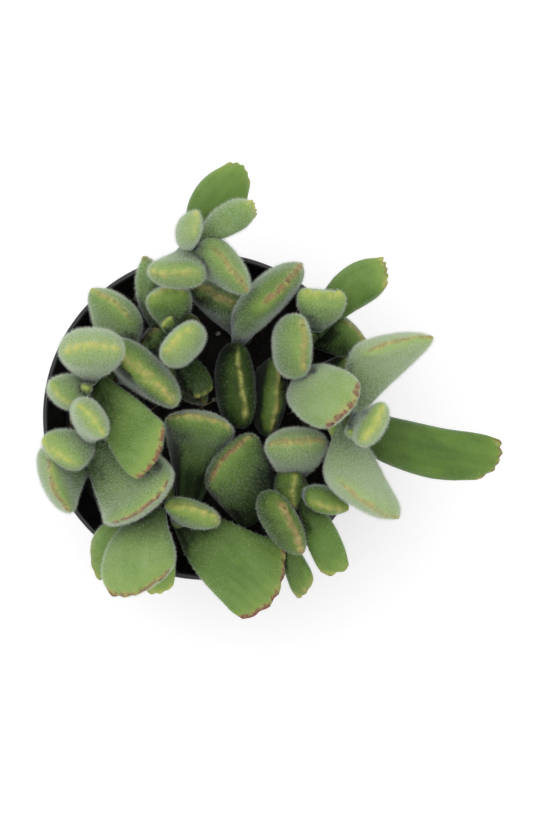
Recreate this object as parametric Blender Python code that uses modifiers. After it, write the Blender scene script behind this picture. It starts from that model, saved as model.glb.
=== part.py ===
"""Potted bear paw succulent in a round nursery pot.

Metres, +Z up. The origin is the middle of the pot's underside, on the surface it stands on.
Places on the plant are written in millimetres, with their height counted from the top of the
pot's rim, because that is the edge that the plant was measured against.
"""

import math

import bmesh
import bpy
from mathutils import Vector

MM = 0.001

# The pot's driving sizes
RIM_DIAMETER = 90.0
POT_HEIGHT = 80.0
FLOOR_DIAMETER = 62.0
WALL = 1.2
FLOOR_THICKNESS = 1.6
COLLAR_HEIGHT = 13.0
COLLAR_STEP = 1.1
COLLAR_INSET = 0.3
COLLAR_SLOPE = 1.5
LIP_RADIUS = 0.8
LIP_STEPS = 6
LIP_DEPTH = 3.2
FOOT_CHAMFER = 0.8
POT_STEPS = 48
DRAIN_HOLES = 8
DRAIN_DIAMETER = 7.0
DRAIN_CIRCLE = 23.0
DRAIN_TURN = 11.0
DRAIN_SIDES = 12

# The potting mix
SOIL_BELOW_RIM = 15.0
SOIL_DOME = 1.0
SOIL_ROUGHNESS = 0.5
SOIL_RINGS = 5
SOIL_EDGE_FADE = 6.0
CLEARANCE = 0.3
SOIL_STEPS = 36

# The stems
STEM_SIDES = 8
STEM_SEGMENTS = 3
BURIED_DEPTH = 12.0
TIP_ABOVE_STEM = 6.0
HOLE_SIDES = 12
HOLE_ABOVE = 12.0

# The leaf's sections: share of the length, of the spread from neck to ridge, and of the thickness
LEAF_RINGS = (
    (0.00, 0.00, 0.36),
    (0.14, 0.22, 0.52),
    (0.34, 0.62, 0.84),
    (0.56, 0.94, 1.00),
    (0.76, 1.08, 0.97),
    (0.90, 1.12, 0.76),
    (0.97, 1.08, 0.36),
)
BIG_LEAF_WIDTH = 13.0
BIG_LEAF_SIDES = 16
SMALL_LEAF_SIDES = 12
TOOTH_OUT = 0.65
TOOTH_IN = 0.45

# Points closer together than this are one
WELD = 0.005

LEAF_GREEN = (0.28, 0.42, 0.15, 1.0)
SOIL_BROWN = (0.020, 0.015, 0.011, 1.0)
POT_BLACK = (0.012, 0.013, 0.015, 1.0)


def leaf(note, foot, corner_a, corner_b, thick, belly=1.1, crown=0.16, bow=0.1, neck=0.36, swing=0.0):
    """One leaf: where it grows from, the two ends of its toothed ridge, and how plump it is."""
    return {
        "note": note,
        "foot": foot,
        "corners": (corner_a, corner_b),
        "thick": thick,
        "belly": belly,
        "crown": crown,
        "bow": bow,
        "neck": neck,
        "swing": swing,
    }


# Each leafy stem: its route from the mix to its tip, its two radii, and its leaves
STEMS = {
    "north_leafy_stem": {
        "route": ((-5, 33.5, -14), (-5, 36, -8), (-5, 40, 2), (-3.5, 46, 18)),
        "radius": (2.8, 2),
        "leaves": (
            leaf(
                "broad, furthest out", (-3.5, 45.5, 14), (4.5, 67.5, 16), (12, 60.5, 13), 8,
                belly=1.32, neck=0.6, crown=0.34, swing=-0.03,
            ),
            leaf(
                "pale, beside it", (-2.5, 46.5, 17), (11.5, 57.5, 26), (13, 52.5, 22), 8.5,
                belly=1.3, neck=0.45,
            ),
            leaf("young, upright", (-4, 46, 17), (-2, 54.5, 33), (-1.5, 47.5, 34), 6, bow=-0.13, belly=1.1),
            leaf(
                "over the rim, pointing in", (-4, 44.5, 15), (-15, 38.5, 25), (-2.5, 38.5, 26), 9,
                bow=0.18, belly=1.22, neck=0.6,
            ),
            leaf("inner", (-2.5, 43, 9), (2, 44.5, 24), (12, 33, 21), 9.6, bow=0.1, belly=1.12),
        ),
    },
    "north_west_leafy_stem": {
        "route": ((-9, 15.5, -14), (-9, 16.5, -9), (-8.5, 19, -3), (-7.5, 23.5, 7)),
        "radius": (2.8, 2),
        "leaves": (
            leaf("bud", (-8, 23, 3), (-11.5, 24, 14), (-8.5, 26.5, 15), 3),
            leaf("bud", (-7, 23, 3), (-5, 27.5, 14), (-1.5, 25, 14), 3),
            leaf(
                "pale, upright", (-6.5, 20.5, 3), (-11, 16.5, 26), (-3, 24.5, 28), 8.6,
                belly=1.2, bow=0.1,
            ),
            leaf("north, upright", (-8, 23.5, 3), (-15.5, 31.5, 15), (-5, 34, 16), 9.5, bow=0.14),
            leaf(
                "on edge, over the rim", (-10.5, 20.5, -5), (-16.5, 42.5, 12), (-14, 41.5, 5), 7,
                neck=0.5,
            ),
            leaf("dark, west", (-11, 18.5, -8), (-18.5, 19, -1), (-12.5, 25, 0), 7.5),
            leaf("dark, low", (-7.5, 18.5, -3), (-4, 5.5, 4), (2, 8.5, 3), 7.4, neck=0.55, belly=1.25),
            leaf("low, tan ridge", (-10, 15, -10), (-11.5, 12.5, -1), (0.5, 3.5, -2), 8.5),
        ),
    },
    "west_leafy_stem": {
        "route": ((-25, 12, -14), (-27, 11.5, 0), (-31.5, 10, 15)),
        "radius": (2.8, 2),
        "leaves": (
            leaf(
                "yellow ridge, upright", (-32, 11, 14), (-37.5, 17.5, 31), (-21.5, 17.5, 32), 12.4,
                belly=1, bow=0.14, neck=0.28,
            ),
            leaf("young, west", (-32.5, 10, 12), (-41.5, 9, 24), (-34.5, 3, 22), 9, bow=0.16),
            leaf(
                "broad, lying over the middle", (-30, 10, 12), (-10.5, -2.5, 28), (-18.5, -16.5, 25), 9,
                belly=0.95, neck=0.42, swing=0.06,
            ),
            leaf(
                "north-west", (-26.5, 15, -6), (-31.5, 34.5, 13), (-20, 26.5, 13), 11,
                belly=1.1, bow=0.14,
            ),
            leaf("long cream ridge", (-26, 10, -8), (-24, 17, 17), (-7.5, 3, 15), 10.8, belly=1.1),
            leaf("bud", (-31.5, 10, 12), (-32.5, 12, 24), (-30, 12, 24), 3),
            leaf("bud", (-31.5, 9.5, 12), (-33, 8, 23), (-30.5, 7, 23), 3),
        ),
    },
    "south_west_leafy_stem": {
        "route": ((-26, -8, -14), (-29, -8, 0), (-32, -7.5, 13)),
        "radius": (2.8, 2),
        "leaves": (
            leaf(
                "upright, bright ridge", (-33, -7, 11), (-33, 4, 33), (-26, -5.5, 34), 7.9,
                belly=0.92, bow=0.06, neck=0.28, swing=-0.11,
            ),
            leaf("west, upright", (-32, -7, 8), (-43.5, -5.5, 20), (-35, -13, 21), 9, belly=1.08, bow=0),
            leaf("low west", (-31.5, -8.5, 2), (-41.5, -11, 19), (-36, -26, 17), 10, bow=0.3, belly=1.1),
            leaf(
                "big, lying south", (-31.5, -7, 8), (-9.5, -16.5, 26), (-26, -28.5, 21), 11.4,
                neck=0.55, bow=0.3,
            ),
        ),
    },
    "low_south_west_leafy_stem": {
        "route": ((-14.5, -22, -14), (-14.5, -23.5, -7), (-15, -25.5, 6)),
        "radius": (2.8, 2),
        "leaves": (
            leaf(
                "broad, over the rim", (-15, -25, 6), (-27, -46, 17), (-9, -41, 19), 9.5,
                belly=1.1, neck=0.5, crown=0.25, bow=0.04, swing=-0.06,
            ),
            leaf("behind, west", (-16, -27, 1), (-31, -33, 5), (-28.5, -45, 5), 6, bow=-0.08),
            leaf("behind, south", (-16, -26.5, 2), (-16.5, -47.5, 5), (-8.5, -45.5, 5), 5.5, bow=-0.08),
            leaf("dark, inner", (-15.5, -21.5, -9), (-13.5, -9.5, 2), (-11.5, -22.5, 0), 5.5),
        ),
    },
    "south_leafy_stem": {
        "route": ((-5.5, -25, -14), (-5.5, -25.8, -10), (-8, -29, 4)),
        "radius": (2.8, 2),
        "leaves": (
            leaf("pointing east", (-9, -27, 3), (-9.5, -24, 11), (4, -28.5, 9), 7),
            leaf(
                "broadest, over the rim", (-5.5, -31.5, -3), (21, -35, 4.5), (10, -54.5, 12), 8.2,
                neck=0.32, crown=0.22, bow=0.02, belly=0.85, swing=0.03,
            ),
            leaf(
                "inner, plump", (-7, -23.5, -10), (-11, -0.5, 9), (7.5, -3.5, 9.5), 11.8,
                belly=0.92, neck=0.3, bow=0.22,
            ),
        ),
    },
    "centre_leafy_stem": {
        "route": ((11, 8, -14), (12, 8, -11), (13, 8, -7)),
        "radius": (3.2, 2.4),
        "leaves": (
            leaf("tall, dark", (7, 7.5, -11), (9, 19.5, 6), (11, -2, 5), 11.5, belly=1.05, bow=0.14),
            leaf("tall, olive", (12, 6.5, -11), (19.5, 15, 2), (17, -5, 0), 9, belly=1.05),
        ),
    },
    "inner_north_leafy_stem": {
        "route": ((9.5, 22, -14), (9.8, 22, -10), (10.5, 22.2, -5)),
        "radius": (2.8, 2.2),
        "leaves": (
            leaf(
                "on edge, to the rim", (11, 22.5, -6), (27, 41.5, 12), (15.5, 29.5, 22), 10.8,
                neck=0.55, bow=0.06,
            ),
            leaf(
                "dark, north", (9, 22, -9), (-5, 36, 7), (8, 30.5, 7), 11.5,
                bow=0.12, neck=0.55, belly=1.3,
            ),
        ),
    },
    "inner_east_leafy_stem": {
        "route": ((25.5, 7, -14), (25.5, 8, -9), (25.5, 9.5, -3)),
        "radius": (2.8, 2),
        "leaves": (
            leaf(
                "broad, leaning east", (26.5, 7, -7), (41, 9.5, 33), (32, -3.5, 31), 9,
                belly=1, neck=0.3, crown=0.34, bow=-0.09,
            ),
            leaf("dark, under", (26.5, 10, -6), (38, 17, 1), (37.5, 11.5, -1), 6.8),
        ),
    },
    "north_east_leafy_stem": {
        "route": ((25, 18, -14), (27, 20, -2), (30, 24, 9)),
        "radius": (2.8, 2),
        "leaves": (
            leaf(
                "smooth, furthest out", (31, 24.5, 7), (46.5, 43, 13), (48.5, 34.5, 15), 8,
                belly=1.42, neck=0.72, crown=0.16, swing=-0.13,
            ),
            leaf(
                "toothed, upright", (29, 23.5, 9), (26, 34, 20), (37.5, 32.5, 20), 7.6,
                belly=1.08, crown=-0.08, bow=0,
            ),
            leaf(
                "bright, upright", (25, 20.5, -7), (26, 26.5, 25), (27, 11.5, 24.5), 9.4,
                belly=1.1, bow=0.11,
            ),
            leaf("dark, east", (28, 23, 1), (38, 26, 8), (44.5, 17.5, 8), 9, neck=0.5, belly=1.25),
        ),
    },
    "east_leafy_stem": {
        "route": ((29, -1, -14), (34, -1, 1), (40, -1, 17)),
        "radius": (2.8, 2),
        "leaves": (
            leaf(
                "pale, north", (41.5, 1, 13), (43.5, 17, 27), (61.5, 21, 25), 11.6,
                bow=0.24, belly=1.03, neck=0.36, swing=0.03,
            ),
            leaf(
                "long, furthest out", (42.5, -2, 11), (79, -5.5, 8), (72.5, -17.5, 5), 9,
                belly=1.04, neck=0.75, swing=0.085, crown=0.26,
            ),
            leaf(
                "pale, south", (40, -2.5, 12), (36, -17, 28), (53, -27, 18), 10.8,
                bow=0.2, belly=0.94, swing=0.09,
            ),
            leaf("small, bright ridge", (41.5, -1, 16), (47.5, 3.5, 32), (41.5, -6.5, 33), 7.2, belly=1.02),
            leaf("young, west", (39.5, -1.5, 11), (33.5, -2, 14), (35.5, -6, 14), 5.5),
            leaf("bud", (40, -0.5, 13), (38, 3, 24), (40.5, 3, 24), 3),
            leaf("bud", (40, -1.5, 13), (38, -4, 25), (40.5, -4, 25), 3),
        ),
    },
    "south_east_leafy_stem": {
        "route": ((24.5, -16, -14), (25, -17.5, -7), (27, -21.5, 5)),
        "radius": (2.8, 2),
        "leaves": (
            leaf(
                "plump, north", (25, -15.5, -10), (16.5, -8, 16), (33, -6.5, 13.5), 11,
                belly=0.88, bow=0.05,
            ),
            leaf("small, yellow ridge", (24, -19.5, -9), (24, -15, 5), (24, -25.5, 4), 8.4, belly=1.1),
            leaf("pointing east", (25.5, -21, 3), (29, -23.5, 12), (39, -25.5, 11), 7, belly=1.2, bow=-0.1),
            leaf(
                "long, south-east", (26, -22, 2), (39, -40, 8), (31, -42, 8), 7.5,
                belly=1.12, neck=0.6, bow=-0.04,
            ),
        ),
    },
    "offset_leafy_stem": {
        "route": ((14.5, -25.5, -14), (16.5, -27, -8), (19.8, -28.8, 1)),
        "radius": (2.8, 2),
        "leaves": (
            leaf(
                "large, plump", (13.5, -25, -10), (1, -18.5, 9), (13.5, -4.5, 10), 12,
                belly=1.04, bow=0.12, neck=0.85,
            ),
            leaf(
                "east, tan ridge", (19.5, -29, -3), (19.5, -22.5, 19), (27, -37, 19), 8.6,
                bow=-0.06, neck=0.28, belly=1.06, swing=-0.1,
            ),
            leaf(
                "over the rim", (19.5, -29, 0), (29.5, -44, 5), (24.5, -49.5, 4), 4.8,
                belly=0.92, bow=-0.05, neck=0.22,
            ),
        ),
    },
}


def new_object(name, mesh, collection):
    obj = bpy.data.objects.new(name, mesh)
    collection.objects.link(obj)
    return obj


def new_material(name, colour, roughness):
    material = bpy.data.materials.new(name)
    material.use_nodes = True
    shader = material.node_tree.nodes["Principled BSDF"]
    shader.inputs["Base Color"].default_value = colour
    shader.inputs["Roughness"].default_value = roughness
    return material


def shade_round(obj, angle):
    obj.data.shade_smooth()
    obj.data.set_sharp_from_angle(angle=math.radians(angle))


def at_rim(point):
    """A place in millimetres, counted from the rim's height, as a place in the model."""
    x, y, above_rim = point
    return Vector((x, y, above_rim + POT_HEIGHT)) * MM


def evaluated_copy(obj):
    """The object's mesh with its modifiers taken in."""
    graph = bpy.context.evaluated_depsgraph_get()
    return bpy.data.meshes.new_from_object(obj.evaluated_get(graph))


def turned(name, profile, steps, collection):
    """A solid turned from (radius, height) points in millimetres, which run down its outer side."""
    mesh = bpy.data.meshes.new(name)
    points = [(radius * MM, 0.0, height * MM) for radius, height in profile]
    edges = [(i, i + 1) for i in range(len(points) - 1)]
    mesh.from_pydata(points, edges, [])
    obj = new_object(name, mesh, collection)
    screw = obj.modifiers.new("Turn", "SCREW")
    screw.steps = steps
    screw.render_steps = steps
    screw.use_merge_vertices = True
    screw.merge_threshold = WELD * MM
    solid = evaluated_copy(obj)
    obj.modifiers.clear()
    shape = bmesh.new()
    shape.from_mesh(solid)
    bmesh.ops.remove_doubles(shape, verts=shape.verts, dist=WELD * MM)
    bmesh.ops.recalc_face_normals(shape, faces=shape.faces)
    shape.to_mesh(solid)
    shape.free()
    obj.data = solid
    return obj


def arc(centre_radius, centre_height, radius, start, end, count):
    """Points on an arc, with the angles in degrees and 0 pointing out from the axis."""
    points = []
    for i in range(count + 1):
        angle = math.radians(start + (end - start) * i / count)
        points.append(
            (centre_radius + radius * math.cos(angle), centre_height + radius * math.sin(angle))
        )
    return points


def outer_wall(height):
    """The body's outer radius at a height, below the collar."""
    top = RIM_DIAMETER / 2 - LIP_RADIUS / 2 - COLLAR_STEP
    return FLOOR_DIAMETER / 2 + (top - FLOOR_DIAMETER / 2) * height / POT_HEIGHT


def inner_wall(height):
    return outer_wall(height) - WALL


def make_pot(parts, cutters, material):
    rim = RIM_DIAMETER / 2
    shoulder = POT_HEIGHT - COLLAR_HEIGHT
    collar = outer_wall(shoulder) + COLLAR_STEP
    profile = [(0.0, FLOOR_THICKNESS), (inner_wall(FLOOR_THICKNESS), FLOOR_THICKNESS)]
    profile += [(inner_wall(shoulder), shoulder)]
    profile += [(inner_wall(shoulder) + COLLAR_STEP - COLLAR_INSET, shoulder + COLLAR_SLOPE)]
    profile += arc(rim - LIP_RADIUS, POT_HEIGHT - LIP_RADIUS, LIP_RADIUS, 180, 0, LIP_STEPS)
    profile += [(rim - COLLAR_INSET, POT_HEIGHT - LIP_DEPTH)]
    profile += [(collar, shoulder), (outer_wall(shoulder), shoulder)]
    profile += [(outer_wall(FOOT_CHAMFER), FOOT_CHAMFER)]
    profile += [(outer_wall(0.0) - FOOT_CHAMFER, 0.0), (0.0, 0.0)]
    pot = turned("pot", profile, POT_STEPS, parts)
    for index in range(DRAIN_HOLES):
        turn = 2 * math.pi * index / DRAIN_HOLES + math.radians(DRAIN_TURN)
        mesh = bpy.data.meshes.new("drain_cutter")
        shape = bmesh.new()
        bmesh.ops.create_cone(
            shape,
            cap_ends=True,
            segments=DRAIN_SIDES,
            radius1=DRAIN_DIAMETER / 2 * MM,
            radius2=DRAIN_DIAMETER / 2 * MM,
            depth=FLOOR_THICKNESS * 3 * MM,
        )
        shape.to_mesh(mesh)
        shape.free()
        cutter = new_object("drain_cutter_%d" % (index + 1), mesh, cutters)
        cutter.location = (
            DRAIN_CIRCLE * math.cos(turn) * MM,
            DRAIN_CIRCLE * math.sin(turn) * MM,
            FLOOR_THICKNESS / 2 * MM,
        )
        cutter.hide_render = True
        cutter.display_type = "WIRE"
        drill = pot.modifiers.new("Drain %d" % (index + 1), "BOOLEAN")
        drill.operation = "DIFFERENCE"
        drill.object = cutter
        drill.solver = "EXACT"
    pot.data.materials.append(material)
    return pot


def soil_height(x, y):
    """How far the mix stands above its edge, in millimetres: a low dome with soft lumps."""
    edge = inner_wall(POT_HEIGHT - SOIL_BELOW_RIM)
    dome = SOIL_DOME * (1.0 - (x * x + y * y) / (edge * edge))
    lumps = math.sin(x * 0.31 + 1.3) * math.cos(y * 0.27 - 0.4) + 0.6 * math.sin(0.47 * (x - y) + 2.0)
    return dome + SOIL_ROUGHNESS * lumps


def make_soil(parts, cutters, material):
    top = POT_HEIGHT - SOIL_BELOW_RIM
    bottom = FLOOR_THICKNESS + CLEARANCE
    edge = inner_wall(top) - CLEARANCE
    profile = [(edge * ring / SOIL_RINGS, top) for ring in range(SOIL_RINGS + 1)]
    profile += [(inner_wall(bottom) - CLEARANCE, bottom), (0.0, bottom)]
    soil = turned("soil", profile, SOIL_STEPS, parts)
    for vertex in soil.data.vertices:
        x, y, z = vertex.co / MM
        if z > top - CLEARANCE:
            fade = min(1.0, (edge - math.hypot(x, y)) / SOIL_EDGE_FADE)
            vertex.co.z += soil_height(x, y) * fade * MM
    for name, stem in STEMS.items():
        foot = at_rim(stem["route"][0])
        hole = bpy.data.meshes.new("hole_cutter")
        shape = bmesh.new()
        radius = (stem["radius"][0] / math.cos(math.pi / HOLE_SIDES) + CLEARANCE) * MM
        bmesh.ops.create_cone(
            shape,
            cap_ends=True,
            segments=HOLE_SIDES,
            radius1=radius,
            radius2=radius,
            depth=(BURIED_DEPTH + CLEARANCE + HOLE_ABOVE) * MM,
        )
        shape.to_mesh(hole)
        shape.free()
        cutter = new_object(name + "_hole_cutter", hole, cutters)
        cutter.location = foot - Vector((0, 0, (BURIED_DEPTH + CLEARANCE - HOLE_ABOVE) / 2 * MM))
        cutter.hide_render = True
        cutter.display_type = "WIRE"
        drill = soil.modifiers.new("Hole for " + name, "BOOLEAN")
        drill.operation = "DIFFERENCE"
        drill.object = cutter
        drill.solver = "EXACT"
    soil.data.materials.append(material)
    return soil


def smooth_route(points, segments):
    """A smooth run of points through the given ones."""
    padded = [points[0] * 2 - points[1], *points, points[-1] * 2 - points[-2]]
    route = []
    for i in range(1, len(padded) - 2):
        before, start, end, after = padded[i - 1 : i + 3]
        for step in range(segments):
            t = step / segments
            route.append(
                0.5
                * (
                    2 * start
                    + (end - before) * t
                    + (2 * before - 5 * start + 4 * end - after) * t * t
                    + (3 * start - before - 3 * end + after) * t * t * t
                )
            )
    route.append(points[-1])
    return route


def stem_route(stem):
    """The stem's middle line above the mix."""
    return smooth_route([at_rim(point) for point in stem["route"]], STEM_SEGMENTS)


def make_stem_tube(name, stem, collection):
    """The bare stem as a closed mesh, from its buried foot to its tip."""
    foot = at_rim(stem["route"][0])
    buried = [foot - Vector((0, 0, BURIED_DEPTH * MM)), foot - Vector((0, 0, BURIED_DEPTH / 2 * MM))]
    above = stem_route(stem)
    route = buried + above
    thick, thin = stem["radius"]
    curve = bpy.data.curves.new(name, "CURVE")
    curve.dimensions = "3D"
    curve.bevel_depth = MM
    curve.bevel_resolution = STEM_SIDES // 4
    curve.use_fill_caps = True
    spline = curve.splines.new("POLY")
    spline.points.add(len(route) - 1)
    for index, place in enumerate(route):
        rise = max(0.0, (index - len(buried)) / (len(above) - 1))
        spline.points[index].co = (*place, 1.0)
        spline.points[index].radius = thick + (thin - thick) * rise
    tube = new_object(name + "_curve", curve, collection)
    bpy.context.view_layer.update()
    mesh = evaluated_copy(tube)
    mesh.name = name
    shape = bmesh.new()
    shape.from_mesh(mesh)
    bmesh.ops.remove_doubles(shape, verts=shape.verts, dist=WELD * MM)
    shape.to_mesh(mesh)
    shape.free()
    made = new_object(name, mesh, collection)
    made.matrix_world = tube.matrix_world
    bpy.data.objects.remove(tube)
    return made


def nearest_on(route, place):
    """The place on a run of points that lies nearest to another place."""
    best = route[0]
    for start, end in zip(route, route[1:]):
        run = end - start
        share = max(0.0, min(1.0, (place - start).dot(run) / run.length_squared))
        found = start + run * share
        if (found - place).length < (best - place).length:
            best = found
    return best


def leaf_frame(spec, route):
    """The leaf's foot, its ridge's middle, and its directions: along, across and to its upper side.

    It grows from the middle of its stem, at the place nearest to the foot that it is given. The
    ridge may stand askew on the leaf, so across comes with the part of it that lies along.
    """
    foot = nearest_on(route, at_rim(spec["foot"]))
    tip = route[-1] + Vector((0, 0, TIP_ABOVE_STEM * MM))
    corner_a, corner_b = (at_rim(corner) for corner in spec["corners"])
    middle = (corner_a + corner_b) / 2
    along = (middle - foot).normalized()
    ridge = (corner_b - corner_a) / 2
    skew = ridge.dot(along)
    across = ridge - along * skew
    upper = across.cross(along).normalized()
    if upper.dot(tip - (foot + middle) / 2) < 0:
        upper = -upper
    return foot, middle, along, across, skew, upper


def leaf_point(spec, frame, ahead, wide, deep):
    """A point of the leaf: its share of the length, of the ridge's half width and of the thickness."""
    foot, middle, along, across, skew, upper = frame
    length = (middle - foot).length
    crown = spec["crown"] * across.length * 2 * (1.0 - wide * wide) * ahead**4
    bulge = length * 4 * ahead * (1 - ahead)
    swell = 1.0 + (spec["belly"] - 1.0) * math.sin(math.pi * ahead**1.4)
    return (
        foot.lerp(middle, ahead)
        - upper * spec["bow"] * bulge
        + across.normalized() * spec["swing"] * bulge
        + along * (crown + skew * wide * ahead**2)
        + across * wide * swell
        + upper * deep * spec["thick"] / 2 * MM
    )


def make_leaf(name, spec, route, collection):
    """A plump leaf: oval sections from its foot, pinched at the end into a toothed ridge."""
    frame = leaf_frame(spec, route)
    across = frame[3]
    sides = BIG_LEAF_SIDES if across.length * 2 >= BIG_LEAF_WIDTH * MM else SMALL_LEAF_SIDES
    half = sides // 2
    shape = bmesh.new()
    rings = []
    for ahead, spread, deep in LEAF_RINGS:
        wide = spec["neck"] + (1.0 - spec["neck"]) * spread
        ring = []
        for side in range(sides):
            turn = 2 * math.pi * side / sides
            place = leaf_point(spec, frame, ahead, wide * math.cos(turn), deep * math.sin(turn))
            ring.append(shape.verts.new(place))
        rings.append(ring)
    along = frame[2]
    ridge = []
    for step in range(half + 1):
        tooth = (TOOTH_OUT if step % 2 == 0 else -TOOTH_IN) * MM
        place = leaf_point(spec, frame, 1.0, math.cos(math.pi * step / half), 0.0)
        ridge.append(shape.verts.new(place + along * tooth))
    rings.append(ridge + [ridge[half - i] for i in range(1, half)])
    for lower, higher in zip(rings, rings[1:]):
        for side in range(sides):
            after = (side + 1) % sides
            corners = [lower[side], lower[after], higher[after], higher[side]]
            shape.faces.new([c for i, c in enumerate(corners) if c not in corners[:i]])
    shape.faces.new(list(reversed(rings[0])))
    bmesh.ops.triangulate(shape, faces=shape.faces)
    bmesh.ops.recalc_face_normals(shape, faces=shape.faces)
    mesh = bpy.data.meshes.new(name)
    shape.to_mesh(mesh)
    shape.free()
    return new_object(name, mesh, collection)


def make_leafy_stem(name, stem, parts, material):
    """A stem and its leaves, joined into one solid."""
    tube = make_stem_tube(name, stem, parts)
    leaves = bpy.data.collections.new(name + "_leaves")
    bpy.context.scene.collection.children.link(leaves)
    route = stem_route(stem)
    for index, spec in enumerate(stem["leaves"]):
        make_leaf("%s_leaf_%d" % (name, index + 1), spec, route, leaves)
    union = tube.modifiers.new("Leaves", "BOOLEAN")
    union.operation = "UNION"
    union.operand_type = "COLLECTION"
    union.collection = leaves
    union.solver = "EXACT"
    joined = evaluated_copy(tube)
    tube.modifiers.clear()
    tube.data = joined
    for obj in list(leaves.objects):
        bpy.data.objects.remove(obj)
    bpy.data.collections.remove(leaves)
    tube.data.materials.clear()
    tube.data.materials.append(material)
    shade_round(tube, 40)
    return tube


def main():
    for obj in list(bpy.data.objects):
        bpy.data.objects.remove(obj)
    parts = bpy.data.collections.new("potted_bear_paw_succulent")
    bpy.context.scene.collection.children.link(parts)
    cutters = bpy.data.collections.new("cutters")
    bpy.context.scene.collection.children.link(cutters)
    pot = make_pot(parts, cutters, new_material("black_plastic", POT_BLACK, 0.45))
    shade_round(pot, 35)
    make_soil(parts, cutters, new_material("potting_mix", SOIL_BROWN, 0.95))
    flesh = new_material("leaf_flesh", LEAF_GREEN, 0.6)
    for name, stem in STEMS.items():
        make_leafy_stem(name, stem, parts, flesh)


if __name__ == "__main__":
    main()
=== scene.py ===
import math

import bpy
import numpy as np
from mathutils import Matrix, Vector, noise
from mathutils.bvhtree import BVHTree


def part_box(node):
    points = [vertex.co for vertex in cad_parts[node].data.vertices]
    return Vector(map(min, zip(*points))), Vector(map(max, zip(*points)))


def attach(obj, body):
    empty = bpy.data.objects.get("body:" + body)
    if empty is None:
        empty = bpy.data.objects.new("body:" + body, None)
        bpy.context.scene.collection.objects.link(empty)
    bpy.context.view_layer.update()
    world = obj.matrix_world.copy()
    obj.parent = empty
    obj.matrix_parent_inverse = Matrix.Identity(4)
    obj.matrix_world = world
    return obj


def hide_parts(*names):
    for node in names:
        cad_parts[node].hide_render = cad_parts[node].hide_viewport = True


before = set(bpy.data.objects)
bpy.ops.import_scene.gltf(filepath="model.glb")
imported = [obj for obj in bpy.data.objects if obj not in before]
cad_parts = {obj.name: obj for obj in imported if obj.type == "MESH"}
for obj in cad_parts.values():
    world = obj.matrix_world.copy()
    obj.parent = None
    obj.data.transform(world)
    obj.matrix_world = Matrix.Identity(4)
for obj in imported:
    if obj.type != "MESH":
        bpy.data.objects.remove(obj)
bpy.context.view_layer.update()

# Looks of the potted bear paw succulent: plump felted leaves with a toothed ridge, thirteen short
# stems, a dark potting mix and a round black nursery pot. Blender's units are metres, +Z up, with
# the origin in the middle of the pot's underside. Sizes below are in millimetres unless they say
# otherwise, and the plant's heights are counted from the top of the pot's rim.

MM = 0.001

# The camera, straight above, as the photograph has it
CAMERA_X = 16.54
CAMERA_Y = 1.24
CAMERA_ABOVE_RIM = 750.0
CAMERA_LENS = 119.2
CAMERA_SENSOR = 36.0

# The photograph's pixels: under the camera, on the pot's axis, and from there to the rim's edge
SEEN_CENTRE = (266.5, 412.0)
SEEN_AXIS = (206.3, 416.5)
SEEN_RIM_RADIUS = 163.75

# Lights and the floor
SOFTBOX_SIDE = 1.3
SOFTBOX_PLACE = (-0.25, 0.35, 1.7)
SOFTBOX_POWER = 9.0
SKY_STRENGTH = 0.85
FLOOR_GLOW = 0.22
FLOOR_RADIUS = 2.5

# The pot, as the frame has it
pot_low, pot_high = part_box("pot")
RIM_RADIUS = (pot_high[0] - pot_low[0]) / 2 / MM
POT_HEIGHT = (pot_high[2] - pot_low[2]) / MM
MM_PER_PIXEL = RIM_RADIUS / SEEN_RIM_RADIUS
FLOOR_RADIUS_OUTSIDE = 31.0
WALL = 1.2
FLOOR_THICKNESS = 1.6
COLLAR_HEIGHT = 13.0
COLLAR_STEP = 1.1
LIP_RADIUS = 0.8
POT_SIDES = 144
DRAIN_HOLES = 8
DRAIN_RADIUS = 3.5
DRAIN_CIRCLE = 23.0
DRAIN_TURN = 11.0

# The potting mix
SOIL_BELOW_RIM = 15.0
SOIL_DOME = 1.0
SOIL_ROUGHNESS = 0.5
SOIL_EDGE_FADE = 6.0
SOIL_CLEARANCE = 0.3
SOIL_SIDES = 132
SOIL_RINGS = 62
CRUMB_HEIGHT = 0.9
MIX_SEED = 71
GRIT_GRAINS = 520
BARK_CHIPS = 170
PERLITE_GRAINS = 34
STRAW_PIECES = 30
STRAW_RINGS = 9
SEEN_PERLITE = ((-20.3, 33.0), (-8.5, 27.0), (-33.0, 17.5))
SEEN_STRAW = ((-38.0, 2.0), (-37.0, -1.5), (-22.0, 31.5), (-24.0, 30.0))

# The stems
STEM_SIDES = 20
STEM_RINGS = 44
BURIED_DEPTH = 12.0
TIP_ABOVE_STEM = 6.0
SCAR_SPACING = 2.3
SCAR_HEIGHT = 0.16

# A leaf's sections: share of the length, of the spread from neck to ridge, and of the thickness
LEAF_STATIONS = (0.00, 0.14, 0.34, 0.56, 0.76, 0.90, 1.00)
LEAF_SPREAD = (0.00, 0.22, 0.62, 0.94, 1.08, 1.12, 1.10)
LEAF_DEPTH = (0.36, 0.52, 0.84, 1.00, 0.99, 0.99, 0.99)
LEAF_SIDES = 64
LEAF_BODY_RINGS = (0.0, 0.05, 0.11, 0.18, 0.26, 0.34, 0.42, 0.50, 0.58, 0.65)
END_STARTS = 0.72
END_TURNS = (0, 12, 24, 35, 45, 54, 62, 69, 75, 80, 84, 87, 90)
UPPER_FLATNESS = 0.92
BLUNTNESS = 0.84

# The toothed ridge that a leaf ends in
CREST_HEIGHT = 0.22
CREST_REACH = 0.75
TOOTH_SHARPNESS = 1.5
SWAY = 0.38
SWAY_REACH = 2.6
PUCKER = 0.10
PUCKER_REACH = 1.9
LUMP = 0.13

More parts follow.
